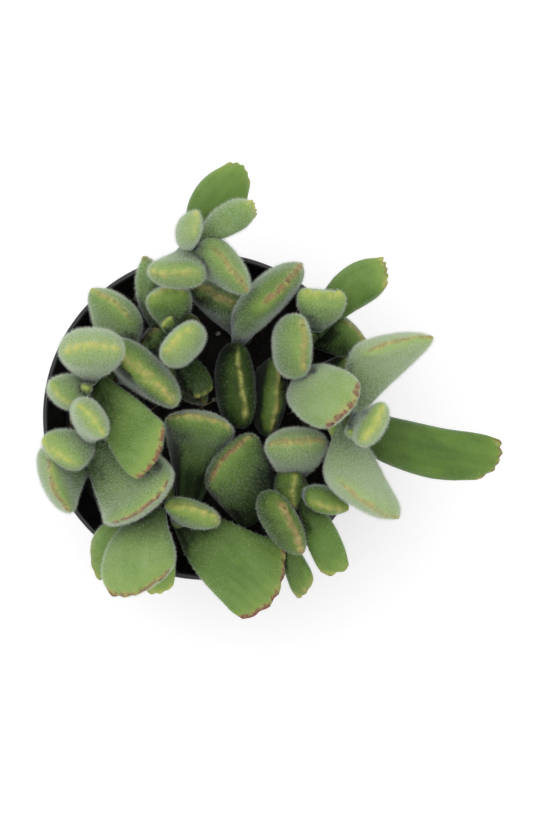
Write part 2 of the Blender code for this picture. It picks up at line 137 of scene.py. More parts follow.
# The felt of short hairs
HAIRS_PER_MM2 = 7.0
HAIR_LENGTH = 0.72
HAIR_RADIUS = 0.029
HAIR_SUNK = 0.05
HAIR_JITTER = 0.22
FELT_SEED = 211
LEAF_SEED = 40

# Veins across a leaf's half width, how far patterns move from leaf to leaf, the felt from which a
# leaf counts as woolly, and the skins of both kinds
VEINS = 4.5
SEED_SHIFT = 7.3
FAN_SHIFT = 3.1
WOOLLY = 0.45
FELT_SHEEN = 0.75
FELT_GLOSS = 0.20
SMOOTH_SHEEN = 0.16
SMOOTH_GLOSS = 0.30

# How open each place on the leaves is: rays per place, how far they look, and how far off they start
OPEN_RAYS = 20
OPEN_REACH = 45.0
OPEN_LIFT = 0.2
OPEN_SEED = 5


def seen(across, down, height):
    """The place of a pixel at a height above the rim, to the nearest half millimetre."""
    scale = MM_PER_PIXEL * (CAMERA_ABOVE_RIM - height) / CAMERA_ABOVE_RIM
    x = (across - SEEN_CENTRE[0]) * scale + (SEEN_CENTRE[0] - SEEN_AXIS[0]) * MM_PER_PIXEL
    y = (SEEN_CENTRE[1] - down) * scale + (SEEN_AXIS[1] - SEEN_CENTRE[1]) * MM_PER_PIXEL
    return (round(2 * x) / 2, round(2 * y) / 2, height)


def leaf(
    foot, ends, thick, belly=1.1, crown=0.16, bow=0.1, neck=0.36, swing=0.0, corner=0.17,
    tone_and_shade=0.5, fuzz=0.5, warmth=0.3, blush=0.1, teeth=4, tooth=0.3, band=0.8, glow=0.4,
):
    """One leaf: where it grows, the ends of its ridge, how plump it is, and how it is coloured, with painted
    shade in its tone.

    Foot and ends are places read off the photograph: the pixel across, the pixel down, and the
    height in millimetres above the rim, which is a guess.
    """
    return {
        "foot": seen(*foot),
        "corners": tuple(seen(*end) for end in ends),
        "thick": thick,
        "belly": belly,
        "crown": crown,
        "bow": bow,
        "neck": neck,
        "swing": swing,
        "corner": corner,
        "tone_and_shade": tone_and_shade,
        "fuzz": fuzz,
        "warmth": warmth,
        "blush": blush,
        "teeth": teeth,
        "tooth": tooth,
        "band": band,
        "glow": glow,
    }


# Each leafy stem: its route from the mix to its tip, its two radii, and its leaves
STEMS = {
    "north": {
        "route": ((-5, 33.5, -14), (-5, 36, -8), (-5, 40, 2), (-3.5, 46, 18)),
        "radius": (2.8, 2),
        "leaves": (
            # Broad, furthest out
            leaf(
                foot=(193, 247, 14), ends=((222, 166, 16), (249, 193, 13)), thick=8, belly=1.32, neck=0.6,
                crown=0.34, swing=-0.03, tone_and_shade=0.48, fuzz=0.15, blush=0.15, teeth=5, tooth=0.6, band=0.3,
                glow=0.3,
            ),
            # Pale, beside it
            leaf(
                foot=(196, 244, 17), ends=((247, 200, 26), (254, 219, 22)), thick=8.5, belly=1.3,
                neck=0.45, tone_and_shade=0.6, fuzz=0.8, warmth=0.1, teeth=5, tooth=1, glow=0.5,
            ),
            # Young, upright
            leaf(
                foot=(190, 246, 17), ends=((196, 209, 33), (198, 236, 34)), thick=6, bow=-0.13, tone_and_shade=0.75,
                fuzz=0.9, warmth=0, blush=0, teeth=3, band=0.6, glow=0.3,
            ),
            # Over the rim, pointing in
            leaf(
                foot=(190, 252, 15), ends=((147, 272, 25), (194, 271, 26)), thick=9, bow=0.18, belly=1.22,
                neck=0.6, tone_and_shade=0.6, fuzz=0.8, blush=0.05, band=0.9, glow=0.6,
            ),
            # Inner
            leaf(
                foot=(197, 258, 9), ends=((211, 249, 24), (249, 293, 21)), thick=9.6, belly=1.12,
                fuzz=0.75, warmth=0.8, blush=0.3, teeth=5,
            ),
        ),
    },
    "north_west": {
        "route": ((-9, 15.5, -14), (-9, 16.5, -9), (-8.5, 19, -3), (-7.5, 23.5, 7)),
        "radius": (2.8, 2),
        "leaves": (
            # Bud
            leaf(
                foot=(177, 333, 3), ends=((162, 328, 14), (174, 318, 15)), thick=3, tone_and_shade=0.6, fuzz=0.4,
                warmth=0.1, blush=0, teeth=2, band=0.5, glow=0.9,
            ),
            # Bud
            leaf(
                foot=(180, 333, 3), ends=((186, 315, 14), (199, 324, 14)), thick=3, tone_and_shade=0.6, fuzz=0.4,
                warmth=0.1, blush=0, teeth=2, band=0.5, glow=0.9,
            ),
            # Pale, upright
            leaf(
                foot=(182, 342, 3), ends=((162, 354, 26), (193, 325, 28)), thick=8.6, belly=1.2,
                tone_and_shade=0.75, fuzz=0.8, warmth=0, band=0.9, glow=1,
            ),
            # North, upright
            leaf(
                foot=(176, 330, 3), ends=((147, 299, 15), (187, 290, 16)), thick=9.5, bow=0.14, tone_and_shade=0.42,
                warmth=0.1, tooth=0.4, band=0.6, glow=0.6,
            ),
            # On edge, over the rim
            leaf(
                foot=(168, 342, -5), ends=((144, 259, 12), (154, 264, 5)), thick=7, neck=0.5, fuzz=0.9,
                blush=0.5, teeth=3, tooth=1, band=0.5, glow=0.2,
            ),
            # Dark with painted shade, west
            leaf(
                foot=(168, 350, -8), ends=((139, 348, -1), (161, 325, 0)), thick=7.5, tone_and_shade=0.25, fuzz=0.7,
                warmth=0.6, blush=0.5, teeth=3, tooth=0.4, band=0.6, glow=0.3,
            ),
            # Dark with painted shade, low
            leaf(
                foot=(179, 350, -3), ends=((191, 397, 4), (214, 385, 3)), thick=7.4, neck=0.55,
                belly=1.25, tone_and_shade=0.06, fuzz=0.3, blush=0, teeth=3, band=0.4, glow=0.1,
            ),
            # Low, tan ridge
            leaf(
                foot=(172, 362, -10), ends=((164, 371, -1), (209, 404, -2)), thick=8.5, tone_and_shade=0.28,
                fuzz=0.6, warmth=0.8, blush=0.4, teeth=5, band=0.9,
            ),
        ),
    },
    "west": {
        "route": ((-25, 12, -14), (-27, 11.5, 0), (-31.5, 10, 15)),
        "radius": (2.8, 2),
        "leaves": (
            # Yellow ridge, upright
            leaf(
                foot=(87, 375, 14), ends=((62, 350, 31), (121, 351, 32)), thick=12.4, belly=1, bow=0.14,
                neck=0.28, tone_and_shade=0.68, fuzz=1, warmth=0.2, blush=0, teeth=6, tooth=0.8, band=1.1, glow=0.7,
            ),
            # Young, west
            leaf(
                foot=(86, 380, 12), ends=((48, 383, 24), (75, 405, 22)), thick=9, bow=0.16, tone_and_shade=0.6,
                fuzz=0.9, warmth=0.1, blush=0, glow=0.5,
            ),
            # Broad, lying over the middle
            leaf(
                foot=(95, 380, 12), ends=((165, 427, 28), (135, 478, 25)), thick=9, belly=0.95, neck=0.42,
                swing=0.06, corner=0.1, tone_and_shade=0.55, fuzz=0.35, warmth=0.9, blush=0.9, teeth=5, tooth=0.5,
                band=0.6, glow=0.5,
            ),
            # North-west
            leaf(
                foot=(112, 362, -6), ends=((88, 289, 13), (131, 318, 13)), thick=11, bow=0.14, tone_and_shade=0.55,
                fuzz=0.7, blush=0.25, band=0.7, glow=0.3,
            ),
            # Long cream ridge
            leaf(
                foot=(113, 380, -8), ends=((116, 354, 17), (177, 405, 15)), thick=10.8, tone_and_shade=0.42,
                fuzz=0.55, warmth=0.45, blush=0.12, teeth=6, band=1.5, glow=0.8,
            ),
            # Bud
            leaf(
                foot=(88, 380, 12), ends=((83, 371, 24), (92, 371, 24)), thick=3, tone_and_shade=0.8, fuzz=0.4,
                warmth=0, blush=0, teeth=2, band=0.5, glow=1,
            ),
            # Bud
            leaf(
                foot=(88, 381, 12), ends=((80, 386, 23), (89, 391, 23)), thick=3, tone_and_shade=0.8, fuzz=0.4,
                warmth=0, blush=0, teeth=2, band=0.5, glow=1,
            ),
        ),
    },
    "south_west": {
        "route": ((-26, -8, -14), (-29, -8, 0), (-32, -7.5, 13)),
        "radius": (2.8, 2),
        "leaves": (
            # Upright, bright ridge
            leaf(
                foot=(84, 442, 11), ends=((77, 401, 33), (104, 438, 34)), thick=7.9, belly=0.92, bow=0.06,
                neck=0.28, swing=-0.11, tone_and_shade=0.65, fuzz=0.85, warmth=0.1, blush=0, band=0.9, glow=0.9,
            ),
            # West, upright
            leaf(
                foot=(88, 443, 8), ends=((42, 438, 20), (74, 466, 21)), thick=9, belly=1.08, bow=0,
                tone_and_shade=0.6, fuzz=0.95, warmth=0, blush=0, glow=0.9,
            ),
            # Low west
            leaf(
                foot=(92, 448, 2), ends=((50, 457, 19), (71, 513, 17)), thick=10, bow=0.3, tone_and_shade=0.55,
                fuzz=0.8, warmth=0.7, blush=0.5, teeth=6, tooth=0.4, band=0.9,
            ),
            # Big, lying south
            leaf(
                foot=(90, 443, 8), ends=((168, 478, 26), (107, 523, 21)), thick=11.4, neck=0.55, bow=0.3,
                tone_and_shade=0.58, fuzz=0.85, warmth=0.6, blush=0.85, teeth=6, tooth=0.4, glow=0.45,
            ),
        ),
    },
    "low_south_west": {
        "route": ((-14.5, -22, -14), (-14.5, -23.5, -7), (-15, -25.5, 6)),
        "radius": (2.8, 2),
        "leaves": (
            # Broad, over the rim
            leaf(
                foot=(151, 508, 6), ends=((104, 587, 17), (172, 570, 19)), thick=9.5, neck=0.5,
                crown=0.25, bow=0.04, swing=-0.06, tone_and_shade=0.68, fuzz=0.6, warmth=0.8, blush=0.7, teeth=5,
                tooth=0.8,
            ),
            # Behind, west
            leaf(
                foot=(148, 514, 1), ends=((93, 538, 5), (101, 582, 5)), thick=6, bow=-0.08, tone_and_shade=0.45,
                fuzz=0.6, warmth=0.4, blush=0.2, teeth=3, tooth=0.4, band=0.4, glow=0.3,
            ),
            # Behind, south
            leaf(
                foot=(148, 514, 2), ends=((146, 590, 5), (175, 584, 5)), thick=5.5, bow=-0.08, tone_and_shade=0.6,
                fuzz=0.4, warmth=0.1, blush=0, teeth=3, tooth=0.5, band=0.7, glow=0.8,
            ),
            # Dark with painted shade, inner
            leaf(
                foot=(151, 494, -9), ends=((157, 452, 2), (164, 498, 0)), thick=5.5, tone_and_shade=0.1, fuzz=0.4,
                warmth=0.2, blush=0, teeth=3, band=0.5,
            ),
        ),
    },
    "south": {
        "route": ((-5.5, -25, -14), (-5.5, -25.8, -10), (-8, -29, 4)),
        "radius": (2.8, 2),
        "leaves": (
            # Pointing east
            leaf(
                foot=(174, 516, 3), ends=((170, 506, 11), (220, 521, 9)), thick=7, tone_and_shade=0.42, fuzz=0.6,
                warmth=0.2, tooth=1.1, glow=0.7,
            ),
            # Broadest, over the rim
            leaf(
                foot=(186, 530, -3), ends=((282, 545, 4.5), (243, 619, 12)), thick=8.2, neck=0.32,
                crown=0.22, bow=0.02, belly=0.85, swing=0.03, corner=0.05, tone_and_shade=0.42, fuzz=0.45,
                warmth=0.85, blush=1, teeth=5, tooth=0.8, band=0.7,
            ),
            # Inner, plump
            leaf(
                foot=(182, 500, -10), ends=((165, 419, 9), (234, 429, 9.5)), thick=11.8, belly=0.92,
                neck=0.3, bow=0.22, tone_and_shade=0.4, warmth=0.8, teeth=5, band=1.4, glow=0.3,
            ),
        ),
    },
    "centre": {
        "route": ((11, 8, -14), (12, 8, -11), (13, 8, -7)),
        "radius": (3.2, 2.4),
        "leaves": (
            # Tall, dark with painted shade
            leaf(
                foot=(232, 390, -11), ends=((239, 345, 6), (247, 423, 5)), thick=11.5, belly=1.05,
                bow=0.14, tone_and_shade=0, fuzz=0.12, warmth=0.1, blush=0, band=0.15, glow=0.1,
            ),
            # Tall, olive with painted shade
            leaf(
                foot=(251, 394, -11), ends=((277, 361, 2), (269, 434, 0)), thick=9, belly=1.05, tone_and_shade=0.14,
                fuzz=0.2, warmth=0.4, band=0.5, glow=0.3,
            ),
        ),
    },
    "inner_north": {
        "route": ((9.5, 22, -14), (9.8, 22, -10), (10.5, 22.2, -5)),
        "radius": (2.8, 2.2),
        "leaves": (
            # On edge, to the rim
            leaf(
                foot=(246, 336, -6), ends=((305, 263, 12), (263, 306, 22)), thick=10.8, neck=0.55,
                bow=0.06, tone_and_shade=0.3, warmth=0.85, blush=0.6, teeth=6, tooth=0.4, glow=0.5,
            ),
            # Dark with painted shade, north
            leaf(
                foot=(239, 337, -9), ends=((188, 284, 7), (236, 305, 7)), thick=11.5, bow=0.12, neck=0.55,
                belly=1.3, tone_and_shade=0.12, fuzz=0.6, warmth=0.8, teeth=5, band=1, glow=0.2,
            ),
        ),
    },
    "inner_east": {
        "route": ((25.5, 7, -14), (25.5, 8, -9), (25.5, 9.5, -3)),
        "radius": (2.8, 2),
        "leaves": (
            # Broad, leaning east
            leaf(
                foot=(302, 392, -7), ends=((360, 381, 33), (326, 430, 31)), thick=9, belly=1, neck=0.3,
                crown=0.34, bow=-0.09, tone_and_shade=0.82, fuzz=0.6, warmth=0.9, blush=0.9, teeth=5, tooth=0.4,
                glow=0.3,
            ),
            # Dark with painted shade, under
            leaf(
                foot=(302, 380, -6), ends=((344, 354, 1), (342, 375, -1)), thick=6.8, tone_and_shade=0.2,
                warmth=0.4, blush=0, teeth=3, band=0.4, glow=0.2,
            ),
        ),
    },
    "north_east": {
        "route": ((25, 18, -14), (27, 20, -2), (30, 24, 9)),
        "radius": (2.8, 2),
        "leaves": (
            # Smooth, furthest out
            leaf(
                foot=(319, 326, 7), ends=((378, 258, 13), (385, 289, 15)), thick=8, belly=1.42, neck=0.72,
                swing=-0.13, corner=0.1, tone_and_shade=0.45, fuzz=0.35, warmth=0.4, blush=0.4, teeth=5, tooth=1,
                glow=0.5,
            ),
            # Toothed, upright
            leaf(
                foot=(312, 330, 9), ends=((301, 290, 20), (345, 295, 20)), thick=7.6, belly=1.08,
                crown=-0.08, bow=0, tone_and_shade=0.6, fuzz=0.75, warmth=0, blush=0, tooth=1.4, band=0.9, glow=0.8,
            ),
            # Bright, upright
            leaf(
                foot=(297, 343, -7), ends=((302, 317, 25), (305, 374, 24.5)), thick=9.4, bow=0.11,
                tone_and_shade=0.48, fuzz=0.65, warmth=0.55, blush=0.25, teeth=5, glow=0.5,
            ),
            # Dark with painted shade, east
            leaf(
                foot=(309, 332, 1), ends=((346, 320, 8), (369, 352, 8)), thick=9, neck=0.5, belly=1.25,
                tone_and_shade=0.18, fuzz=0.35, warmth=0.75, blush=0.3, band=0.7, glow=0.3,
            ),
        ),
    },
    "east": {
        "route": ((29, -1, -14), (34, -1, 1), (40, -1, 17)),
        "radius": (2.8, 2),
        "leaves": (
            # Pale, north
            leaf(
                foot=(359, 412, 13), ends=((368, 353, 27), (435, 338, 25)), thick=11.6, bow=0.24,
                belly=1.03, swing=0.03, tone_and_shade=0.85, fuzz=1, warmth=0.6, blush=0.4, teeth=6, glow=0.7,
            ),
            # Long, furthest out
            leaf(
                foot=(362, 424, 11), ends=((497, 437, 8), (471, 481, 5)), thick=9, belly=1.04, neck=0.75,
                swing=0.085, crown=0.26, corner=0.1, tone_and_shade=0.33, fuzz=0.15, warmth=0.4, blush=0.8, teeth=5,
                tooth=0.9, band=0.5,
            ),
            # Pale, south
            leaf(
                foot=(354, 425, 12), ends=((340, 481, 28), (403, 517, 18)), thick=10.8, bow=0.2,
                belly=0.94, swing=0.09, tone_and_shade=0.88, fuzz=1, warmth=0.6, blush=0.3, teeth=6, glow=0.5,
            ),
            # Small, bright ridge
            leaf(
                foot=(359, 421, 16), ends=((384, 403, 32), (361, 442, 33)), thick=7.2, belly=1.02,
                tone_and_shade=0.55, fuzz=0.85, warmth=0, blush=0, band=1.1, glow=1,
            ),
            # Young, west
            leaf(
                foot=(352, 423, 11), ends=((330, 424, 14), (337, 439, 14)), thick=5.5, tone_and_shade=0.55,
                warmth=0.1, blush=0, teeth=2, band=0.4, glow=0.6,
            ),
            # Bud
            leaf(
                foot=(353, 419, 13), ends=((347, 405, 24), (357, 405, 24)), thick=3, tone_and_shade=0.6, warmth=0.1,
                blush=0, teeth=2, band=0.4, glow=0.6,
            ),
            # Bud
            leaf(
                foot=(354, 422, 13), ends=((347, 431, 25), (357, 431, 25)), thick=3, tone_and_shade=0.6, warmth=0.1,
                blush=0, teeth=2, band=0.4, glow=0.6,
            ),
        ),
    },
    "south_east": {
        "route": ((24.5, -16, -14), (25, -17.5, -7), (27, -21.5, 5)),
        "radius": (2.8, 2),
        "leaves": (
            # Plump, north
            leaf(
                foot=(296, 472, -10), ends=((267, 447, 16), (328, 441, 13.5)), thick=11, belly=0.88,
                bow=0.05, fuzz=0.9, warmth=0.7, blush=0.3, teeth=5, band=1, glow=0.5,
            ),
            # Small, yellow ridge
            leaf(
                foot=(294, 486, -9), ends=((294, 471, 5), (293, 510, 4)), thick=8.4, tone_and_shade=0.22, fuzz=0.4,
                warmth=0, blush=0, teeth=3, band=0.5,
            ),
            # Pointing east
            leaf(
                foot=(300, 494, 3), ends=((313, 504, 12), (350, 511, 11)), thick=7, belly=1.2, bow=-0.1,
                tone_and_shade=0.35, warmth=0.1, tooth=0.8, band=0.5, glow=0.5,
            ),
            # Long, south-east
            leaf(
                foot=(301, 497, 2), ends=((350, 564, 8), (320, 571, 8)), thick=7.5, belly=1.12, neck=0.6,
                bow=-0.04, corner=0.08, tone_and_shade=0.4, fuzz=0.4, blush=0.3, teeth=2, tooth=1, band=0.5,
            ),
        ),
    },
    "offset": {
        "route": ((14.5, -25.5, -14), (16.5, -27, -8), (19.8, -28.8, 1)),
        "radius": (2.8, 2),
        "leaves": (
            # Large, plump
            leaf(
                foot=(256, 507, -10), ends=((210, 485, 9), (256, 434, 10)), thick=12, belly=1.04,
                bow=0.12, neck=0.85, tone_and_shade=0.26, fuzz=0.45, warmth=0.8, blush=0.7, teeth=5, tooth=0.4,
                band=0.6, glow=0.3,
            ),
            # East, tan ridge
            leaf(
                foot=(278, 521, -3), ends=((277, 501, 19), (306, 554, 19)), thick=8.6, bow=-0.06,
                neck=0.28, belly=1.06, swing=-0.1, tone_and_shade=0.12, fuzz=0.3, warmth=0.7, blush=0.4, teeth=5,
                tooth=0.4, band=0.6, glow=0.3,
            ),
            # Over the rim
            leaf(
                foot=(278, 522, 0), ends=((314, 577, 5), (295, 598, 4)), thick=4.8, belly=0.92, bow=-0.05,
                neck=0.22, tone_and_shade=0.35, warmth=0.8, blush=0.2, teeth=3, tooth=0.4, band=0.9, glow=0.3,
            ),
        ),
    },
}


# Places and shapes worked out from the sizes above


def at_rim(point):
    """A place in millimetres, counted from the rim's height, as a place in the model."""
    x, y, above_rim = point
    return Vector((x, y, above_rim + POT_HEIGHT)) * MM


def outer_wall(height):
    """The pot's outer radius at a height, below the collar."""
    top = RIM_RADIUS - LIP_RADIUS / 2 - COLLAR_STEP
    return FLOOR_RADIUS_OUTSIDE + (top - FLOOR_RADIUS_OUTSIDE) * height / POT_HEIGHT


def inner_wall(height):
    return outer_wall(height) - WALL


def arc(centre_radius, centre_height, radius, start, end, count):
    """Points on an arc, with the angles in degrees and 0 pointing out from the axis."""
    points = []
    for i in range(count + 1):
        angle = math.radians(start + (end - start) * i / count)
        points.append(
            (centre_radius + radius * math.cos(angle), centre_height + radius * math.sin(angle))
        )
    return points


def smooth_route(points, segments):
    """A smooth run of points through the given ones."""
    padded = [points[0] * 2 - points[1], *points, points[-1] * 2 - points[-2]]
    route = []
    for i in range(1, len(padded) - 2):
        before, start, end, after = padded[i - 1 : i + 3]
        for step in range(segments):
            t = step / segments
            route.append(
                0.5
                * (
                    2 * start
                    + (end - before) * t
                    + (2 * before - 5 * start + 4 * end - after) * t * t
                    + (3 * start - before - 3 * end + after) * t * t * t
                )
            )
    route.append(points[-1])
    return route


def nearest_on(route, place):
    """The place on a run of points that lies nearest to another place."""
    best = route[0]
    for start, end in zip(route, route[1:]):
        run = end - start
        share = max(0.0, min(1.0, (place - start).dot(run) / run.length_squared))
        found = start + run * share
        if (found - place).length < (best - place).length:
            best = found
    return best


def smooth_between(stations, values, at):
    """A smooth curve through values given at stations, read at an array of places."""
    stations = np.array(stations)
    values = np.array(values)
    slopes = np.gradient(values, stations)
    index = np.clip(np.searchsorted(stations, at, side="right") - 1, 0, len(stations) - 2)
    run = stations[index + 1] - stations[index]
    t = (at - stations[index]) / run
    rise = 3 * t**2 - 2 * t**3
    return (
        values[index] * (1 - rise)
        + values[index + 1] * rise
        + slopes[index] * run * (t - 2 * t**2 + t**3)
        + slopes[index + 1] * run * (t**3 - t**2)
    )


# Modelling helpers


def deselect_all():
    if bpy.context.object and bpy.context.object.mode != "OBJECT":
        bpy.ops.object.mode_set(mode="OBJECT")
    bpy.ops.object.select_all(action="DESELECT")


def take(obj):
    """Selects one object alone and makes it the active one."""
    deselect_all()
    obj.select_set(True)
    bpy.context.view_layer.objects.active = obj


def settle(obj, name):
    """Names a finished piece and puts its place into its mesh."""
    take(obj)
    bpy.ops.object.transform_apply(location=True, rotation=True, scale=True)
    obj.name = name
    obj.data.name = name
    return obj


def remove(obj):
    mesh = obj.data
    bpy.data.objects.remove(obj)
    bpy.data.meshes.remove(mesh)


def own_copy(obj, name):
    """A copy of a piece that was modelled once, with a mesh of its own."""
    made = obj.copy()
    made.data = obj.data.copy()
    made.name = name
    bpy.context.scene.collection.objects.link(made)
    return made


def join(objects):
    """Makes one piece of several."""
    deselect_all()
    for obj in objects:
        obj.select_set(True)
    bpy.context.view_layer.objects.active = objects[0]
    bpy.ops.object.join()
    return bpy.context.object


def points_of(mesh):
    points = np.empty(len(mesh.vertices) * 3, np.float32)
    mesh.vertices.foreach_get("co", points)
    return points.reshape(-1, 3).astype(np.float64)


def move_points(mesh, points):
    mesh.vertices.foreach_set("co", np.ascontiguousarray(points, np.float32).ravel())
    mesh.update()


def store(mesh, name, values):
    """Keeps one number, or one vector, for each point of a mesh."""
    kind = "FLOAT" if np.ndim(values) < 2 else "FLOAT_VECTOR"
    layer = mesh.attributes.new(name, kind, "POINT")
    field = "value" if kind == "FLOAT" else "vector"
    count = len(mesh.vertices)
    if kind == "FLOAT":
        values = np.broadcast_to(values, count)
    layer.data.foreach_set(field, np.ascontiguousarray(values, np.float32).ravel())


def read(mesh, name):
    values = np.empty(len(mesh.vertices), np.float32)
    mesh.attributes[name].data.foreach_get("value", values)
    return values


def face_outwards(obj):
    take(obj)
    bpy.ops.object.mode_set(mode="EDIT")
    bpy.ops.mesh.select_all(action="SELECT")
    bpy.ops.mesh.normals_make_consistent(inside=False)
    bpy.ops.object.mode_set(mode="OBJECT")


def select_ring(obj, height, slack=1e-5):
    """Goes into edit mode with the vertices at one height selected."""
    bpy.ops.object.mode_set(mode="EDIT")
    bpy.ops.mesh.select_mode(type="VERT")
    bpy.ops.mesh.select_all(action="DESELECT")
    bpy.ops.object.mode_set(mode="OBJECT")
    for vertex in obj.data.vertices:
        vertex.select = abs(vertex.co.z - height) < slack
    bpy.ops.object.mode_set(mode="EDIT")


def new_sleeve(sides, stations, pinch=False):
    """Rings of radius 1, extruded along z from station to station, with both ends closed.

    A pinched sleeve ends in a line along x, as a leaf does.
    """
    deselect_all()
    bpy.ops.mesh.primitive_circle_add(vertices=sides, radius=1.0, location=(0, 0, stations[0]))
    sleeve = bpy.context.object
    bpy.ops.object.transform_apply(location=True)
    bpy.ops.object.mode_set(mode="EDIT")
    bpy.ops.mesh.select_all(action="SELECT")
    for lower, upper in zip(stations, stations[1:]):
        step = {"value": (0, 0, upper - lower)}
        bpy.ops.mesh.extrude_region_move(TRANSFORM_OT_translate=step)
    if pinch:
        bpy.ops.transform.resize(value=(1, 0, 1), center_override=(0, 0, stations[-1]))
        bpy.ops.mesh.remove_doubles(threshold=1e-4)
    else:
        bpy.ops.mesh.edge_face_add()
    select_ring(sleeve, stations[0])
    bpy.ops.mesh.edge_face_add()
    bpy.ops.mesh.select_all(action="SELECT")
    bpy.ops.mesh.normals_make_consistent(inside=False)
    bpy.ops.object.mode_set(mode="OBJECT")
    bpy.ops.object.shade_smooth()
    return sleeve


def turn_from(profile, sides, name):
    """A body turned ring by ring through (radius, height) points, with its two ends filled."""
    deselect_all()
    radius, height = profile[0]
    bpy.ops.mesh.primitive_circle_add(
        vertices=sides, radius=radius * MM, fill_type="NOTHING", location=(0, 0, height * MM)
    )
    body = bpy.context.object
    bpy.ops.object.transform_apply(location=True)
    bpy.ops.object.mode_set(mode="EDIT")
    bpy.ops.mesh.select_all(action="SELECT")
    bpy.ops.mesh.edge_face_add()
    bpy.ops.mesh.select_mode(type="EDGE")
    for next_radius, next_height in profile[1:]:
        rise = {"value": (0, 0, (next_height - height) * MM)}
        bpy.ops.mesh.extrude_region_move(TRANSFORM_OT_translate=rise)
        grow = next_radius / radius
        bpy.ops.transform.resize(value=(grow, grow, 1), center_override=(0, 0, 0))
        radius = next_radius
        height = next_height
    bpy.ops.mesh.select_all(action="SELECT")
    bpy.ops.mesh.normals_make_consistent(inside=False)
    bpy.ops.object.mode_set(mode="OBJECT")
    body.name = name
    return body


# Shader helpers


def add_node(tree, kind, **settings):
    made = tree.nodes.new(kind)
    for name, value in settings.items():
        setattr(made, name, value)
    return made


def plug(tree, source, socket):
    """Feeds a socket from another socket, or sets it to a plain value."""
    if isinstance(source, bpy.types.NodeSocket):
        tree.links.new(source, socket)
    else:
        socket.default_value = source


def calculate(tree, operation, first, second=0.0, clamp=False):
    made = add_node(tree, "ShaderNodeMath", operation=operation, use_clamp=clamp)
    plug(tree, first, made.inputs[0])
    plug(tree, second, made.inputs[1])
    return made.outputs[0]


def fade(tree, value, start, end, low=0.0, high=1.0):
    """Goes smoothly from low to high as a value goes from start to end."""
    made = add_node(tree, "ShaderNodeMapRange", interpolation_type="SMOOTHSTEP")
    for socket, source in zip(made.inputs, (value, start, end, low, high)):
        plug(tree, source, socket)
    return made.outputs[0]


def blend_colours(tree, share, first, second):
    made = add_node(tree, "ShaderNodeMix", data_type="RGBA")
    plug(tree, share, made.inputs[0])
    plug(tree, first, made.inputs[6])
    plug(tree, second, made.inputs[7])
    return made.outputs[2]


def colour_scale(tree, value, stops):
    """Colours along a scale, as (place, colour) pairs."""
    made = add_node(tree, "ShaderNodeValToRGB")
    plug(tree, value, made.inputs[0])
    elements = made.color_ramp.elements
    while len(elements) < len(stops):
        elements.new(0.5)
    for element, (place, colour) in zip(elements, stops):
        element.position = place
        element.color = colour
    return made.outputs[0]


def attribute(tree, name, output="Fac"):
    made = add_node(tree, "ShaderNodeAttribute", attribute_name=name)
    return made.outputs[output]


def object_place(tree):
    return add_node(tree, "ShaderNodeTexCoord").outputs["Object"]


def stretched(tree, vector, scale):
    made = add_node(tree, "ShaderNodeMapping")
    plug(tree, vector, made.inputs["Vector"])
    made.inputs["Scale"].default_value = scale
    return made.outputs[0]


def noise_value(tree, vector, scale, detail=3.0, roughness=0.55):
    made = add_node(tree, "ShaderNodeTexNoise")
    plug(tree, vector, made.inputs["Vector"])
    plug(tree, scale, made.inputs["Scale"])
    made.inputs["Detail"].default_value = detail
    made.inputs["Roughness"].default_value = roughness
    return made.outputs[0]


def relief(tree, height, distance, strength=1.0, normal=None):
    """A bump of so many metres, on top of an earlier one if there is one."""
    made = add_node(tree, "ShaderNodeBump")
    made.inputs["Strength"].default_value = strength
    made.inputs["Distance"].default_value = distance
    plug(tree, height, made.inputs["Height"])
    if normal is not None:
        plug(tree, normal, made.inputs["Normal"])
    return made.outputs[0]


def new_group(name, numbers):
    """An empty shader group that takes a place and named numbers, and puts out a mask."""
    tree = bpy.data.node_groups.new(name, "ShaderNodeTree")
    tree.interface.new_socket("Place", in_out="INPUT", socket_type="NodeSocketVector")
    for number, usual in numbers.items():
        socket = tree.interface.new_socket(number, in_out="INPUT", socket_type="NodeSocketFloat")
        socket.default_value = usual
    tree.interface.new_socket("Mask", in_out="OUTPUT", socket_type="NodeSocketFloat")
    entry = tree.nodes.new("NodeGroupInput")
    leave = tree.nodes.new("NodeGroupOutput")
    return tree, entry.outputs, leave.inputs


def make_mottle_group():
    """Soft patches: a noise with the given scale, cut between Low and High."""
    tree, given, result = new_group("mottle", {"Scale": 100.0, "Low": 0.4, "High": 0.6})
    cloud = noise_value(tree, given["Place"], given["Scale"], detail=4.0)
    tree.links.new(fade(tree, cloud, given["Low"], given["High"]), result["Mask"])
    return tree


def make_speck_group():
    """Small round specks: a share of the cells of a pattern, each with a dot of the given size."""
    tree, given, result = new_group("specks", {"Scale": 400.0, "Size": 0.2, "Share": 0.2})
    cells = add_node(tree, "ShaderNodeTexVoronoi")
    tree.links.new(given["Place"], cells.inputs["Vector"])
    tree.links.new(given["Scale"], cells.inputs["Scale"])
    dot = calculate(tree, "LESS_THAN", cells.outputs["Distance"], given["Size"])
    pick = add_node(tree, "ShaderNodeSeparateColor")
    tree.links.new(cells.outputs["Color"], pick.inputs[0])
    chosen = calculate(tree, "LESS_THAN", pick.outputs[0], given["Share"])
    tree.links.new(calculate(tree, "MULTIPLY", dot, chosen), result["Mask"])
    return tree


MOTTLE = make_mottle_group()
SPECKS = make_speck_group()


def use_group(tree, group, place, **numbers):
    made = add_node(tree, "ShaderNodeGroup", node_tree=group)
    plug(tree, place, made.inputs["Place"])
    for name, value in numbers.items():
        made.inputs[name].default_value = value
    return made.outputs["Mask"]


def new_material(name, roughness, **sockets):
    """A material with its shader's plain values set on the shader's own sockets."""
    material = bpy.data.materials.new(name)
    material.use_nodes = True
    shader = material.node_tree.nodes["Principled BSDF"]
    shader.inputs["Roughness"].default_value = roughness
    for socket, value in sockets.items():
        shader.inputs[socket.replace("_", " ")].default_value = value
    return material, material.node_tree, shader.inputs


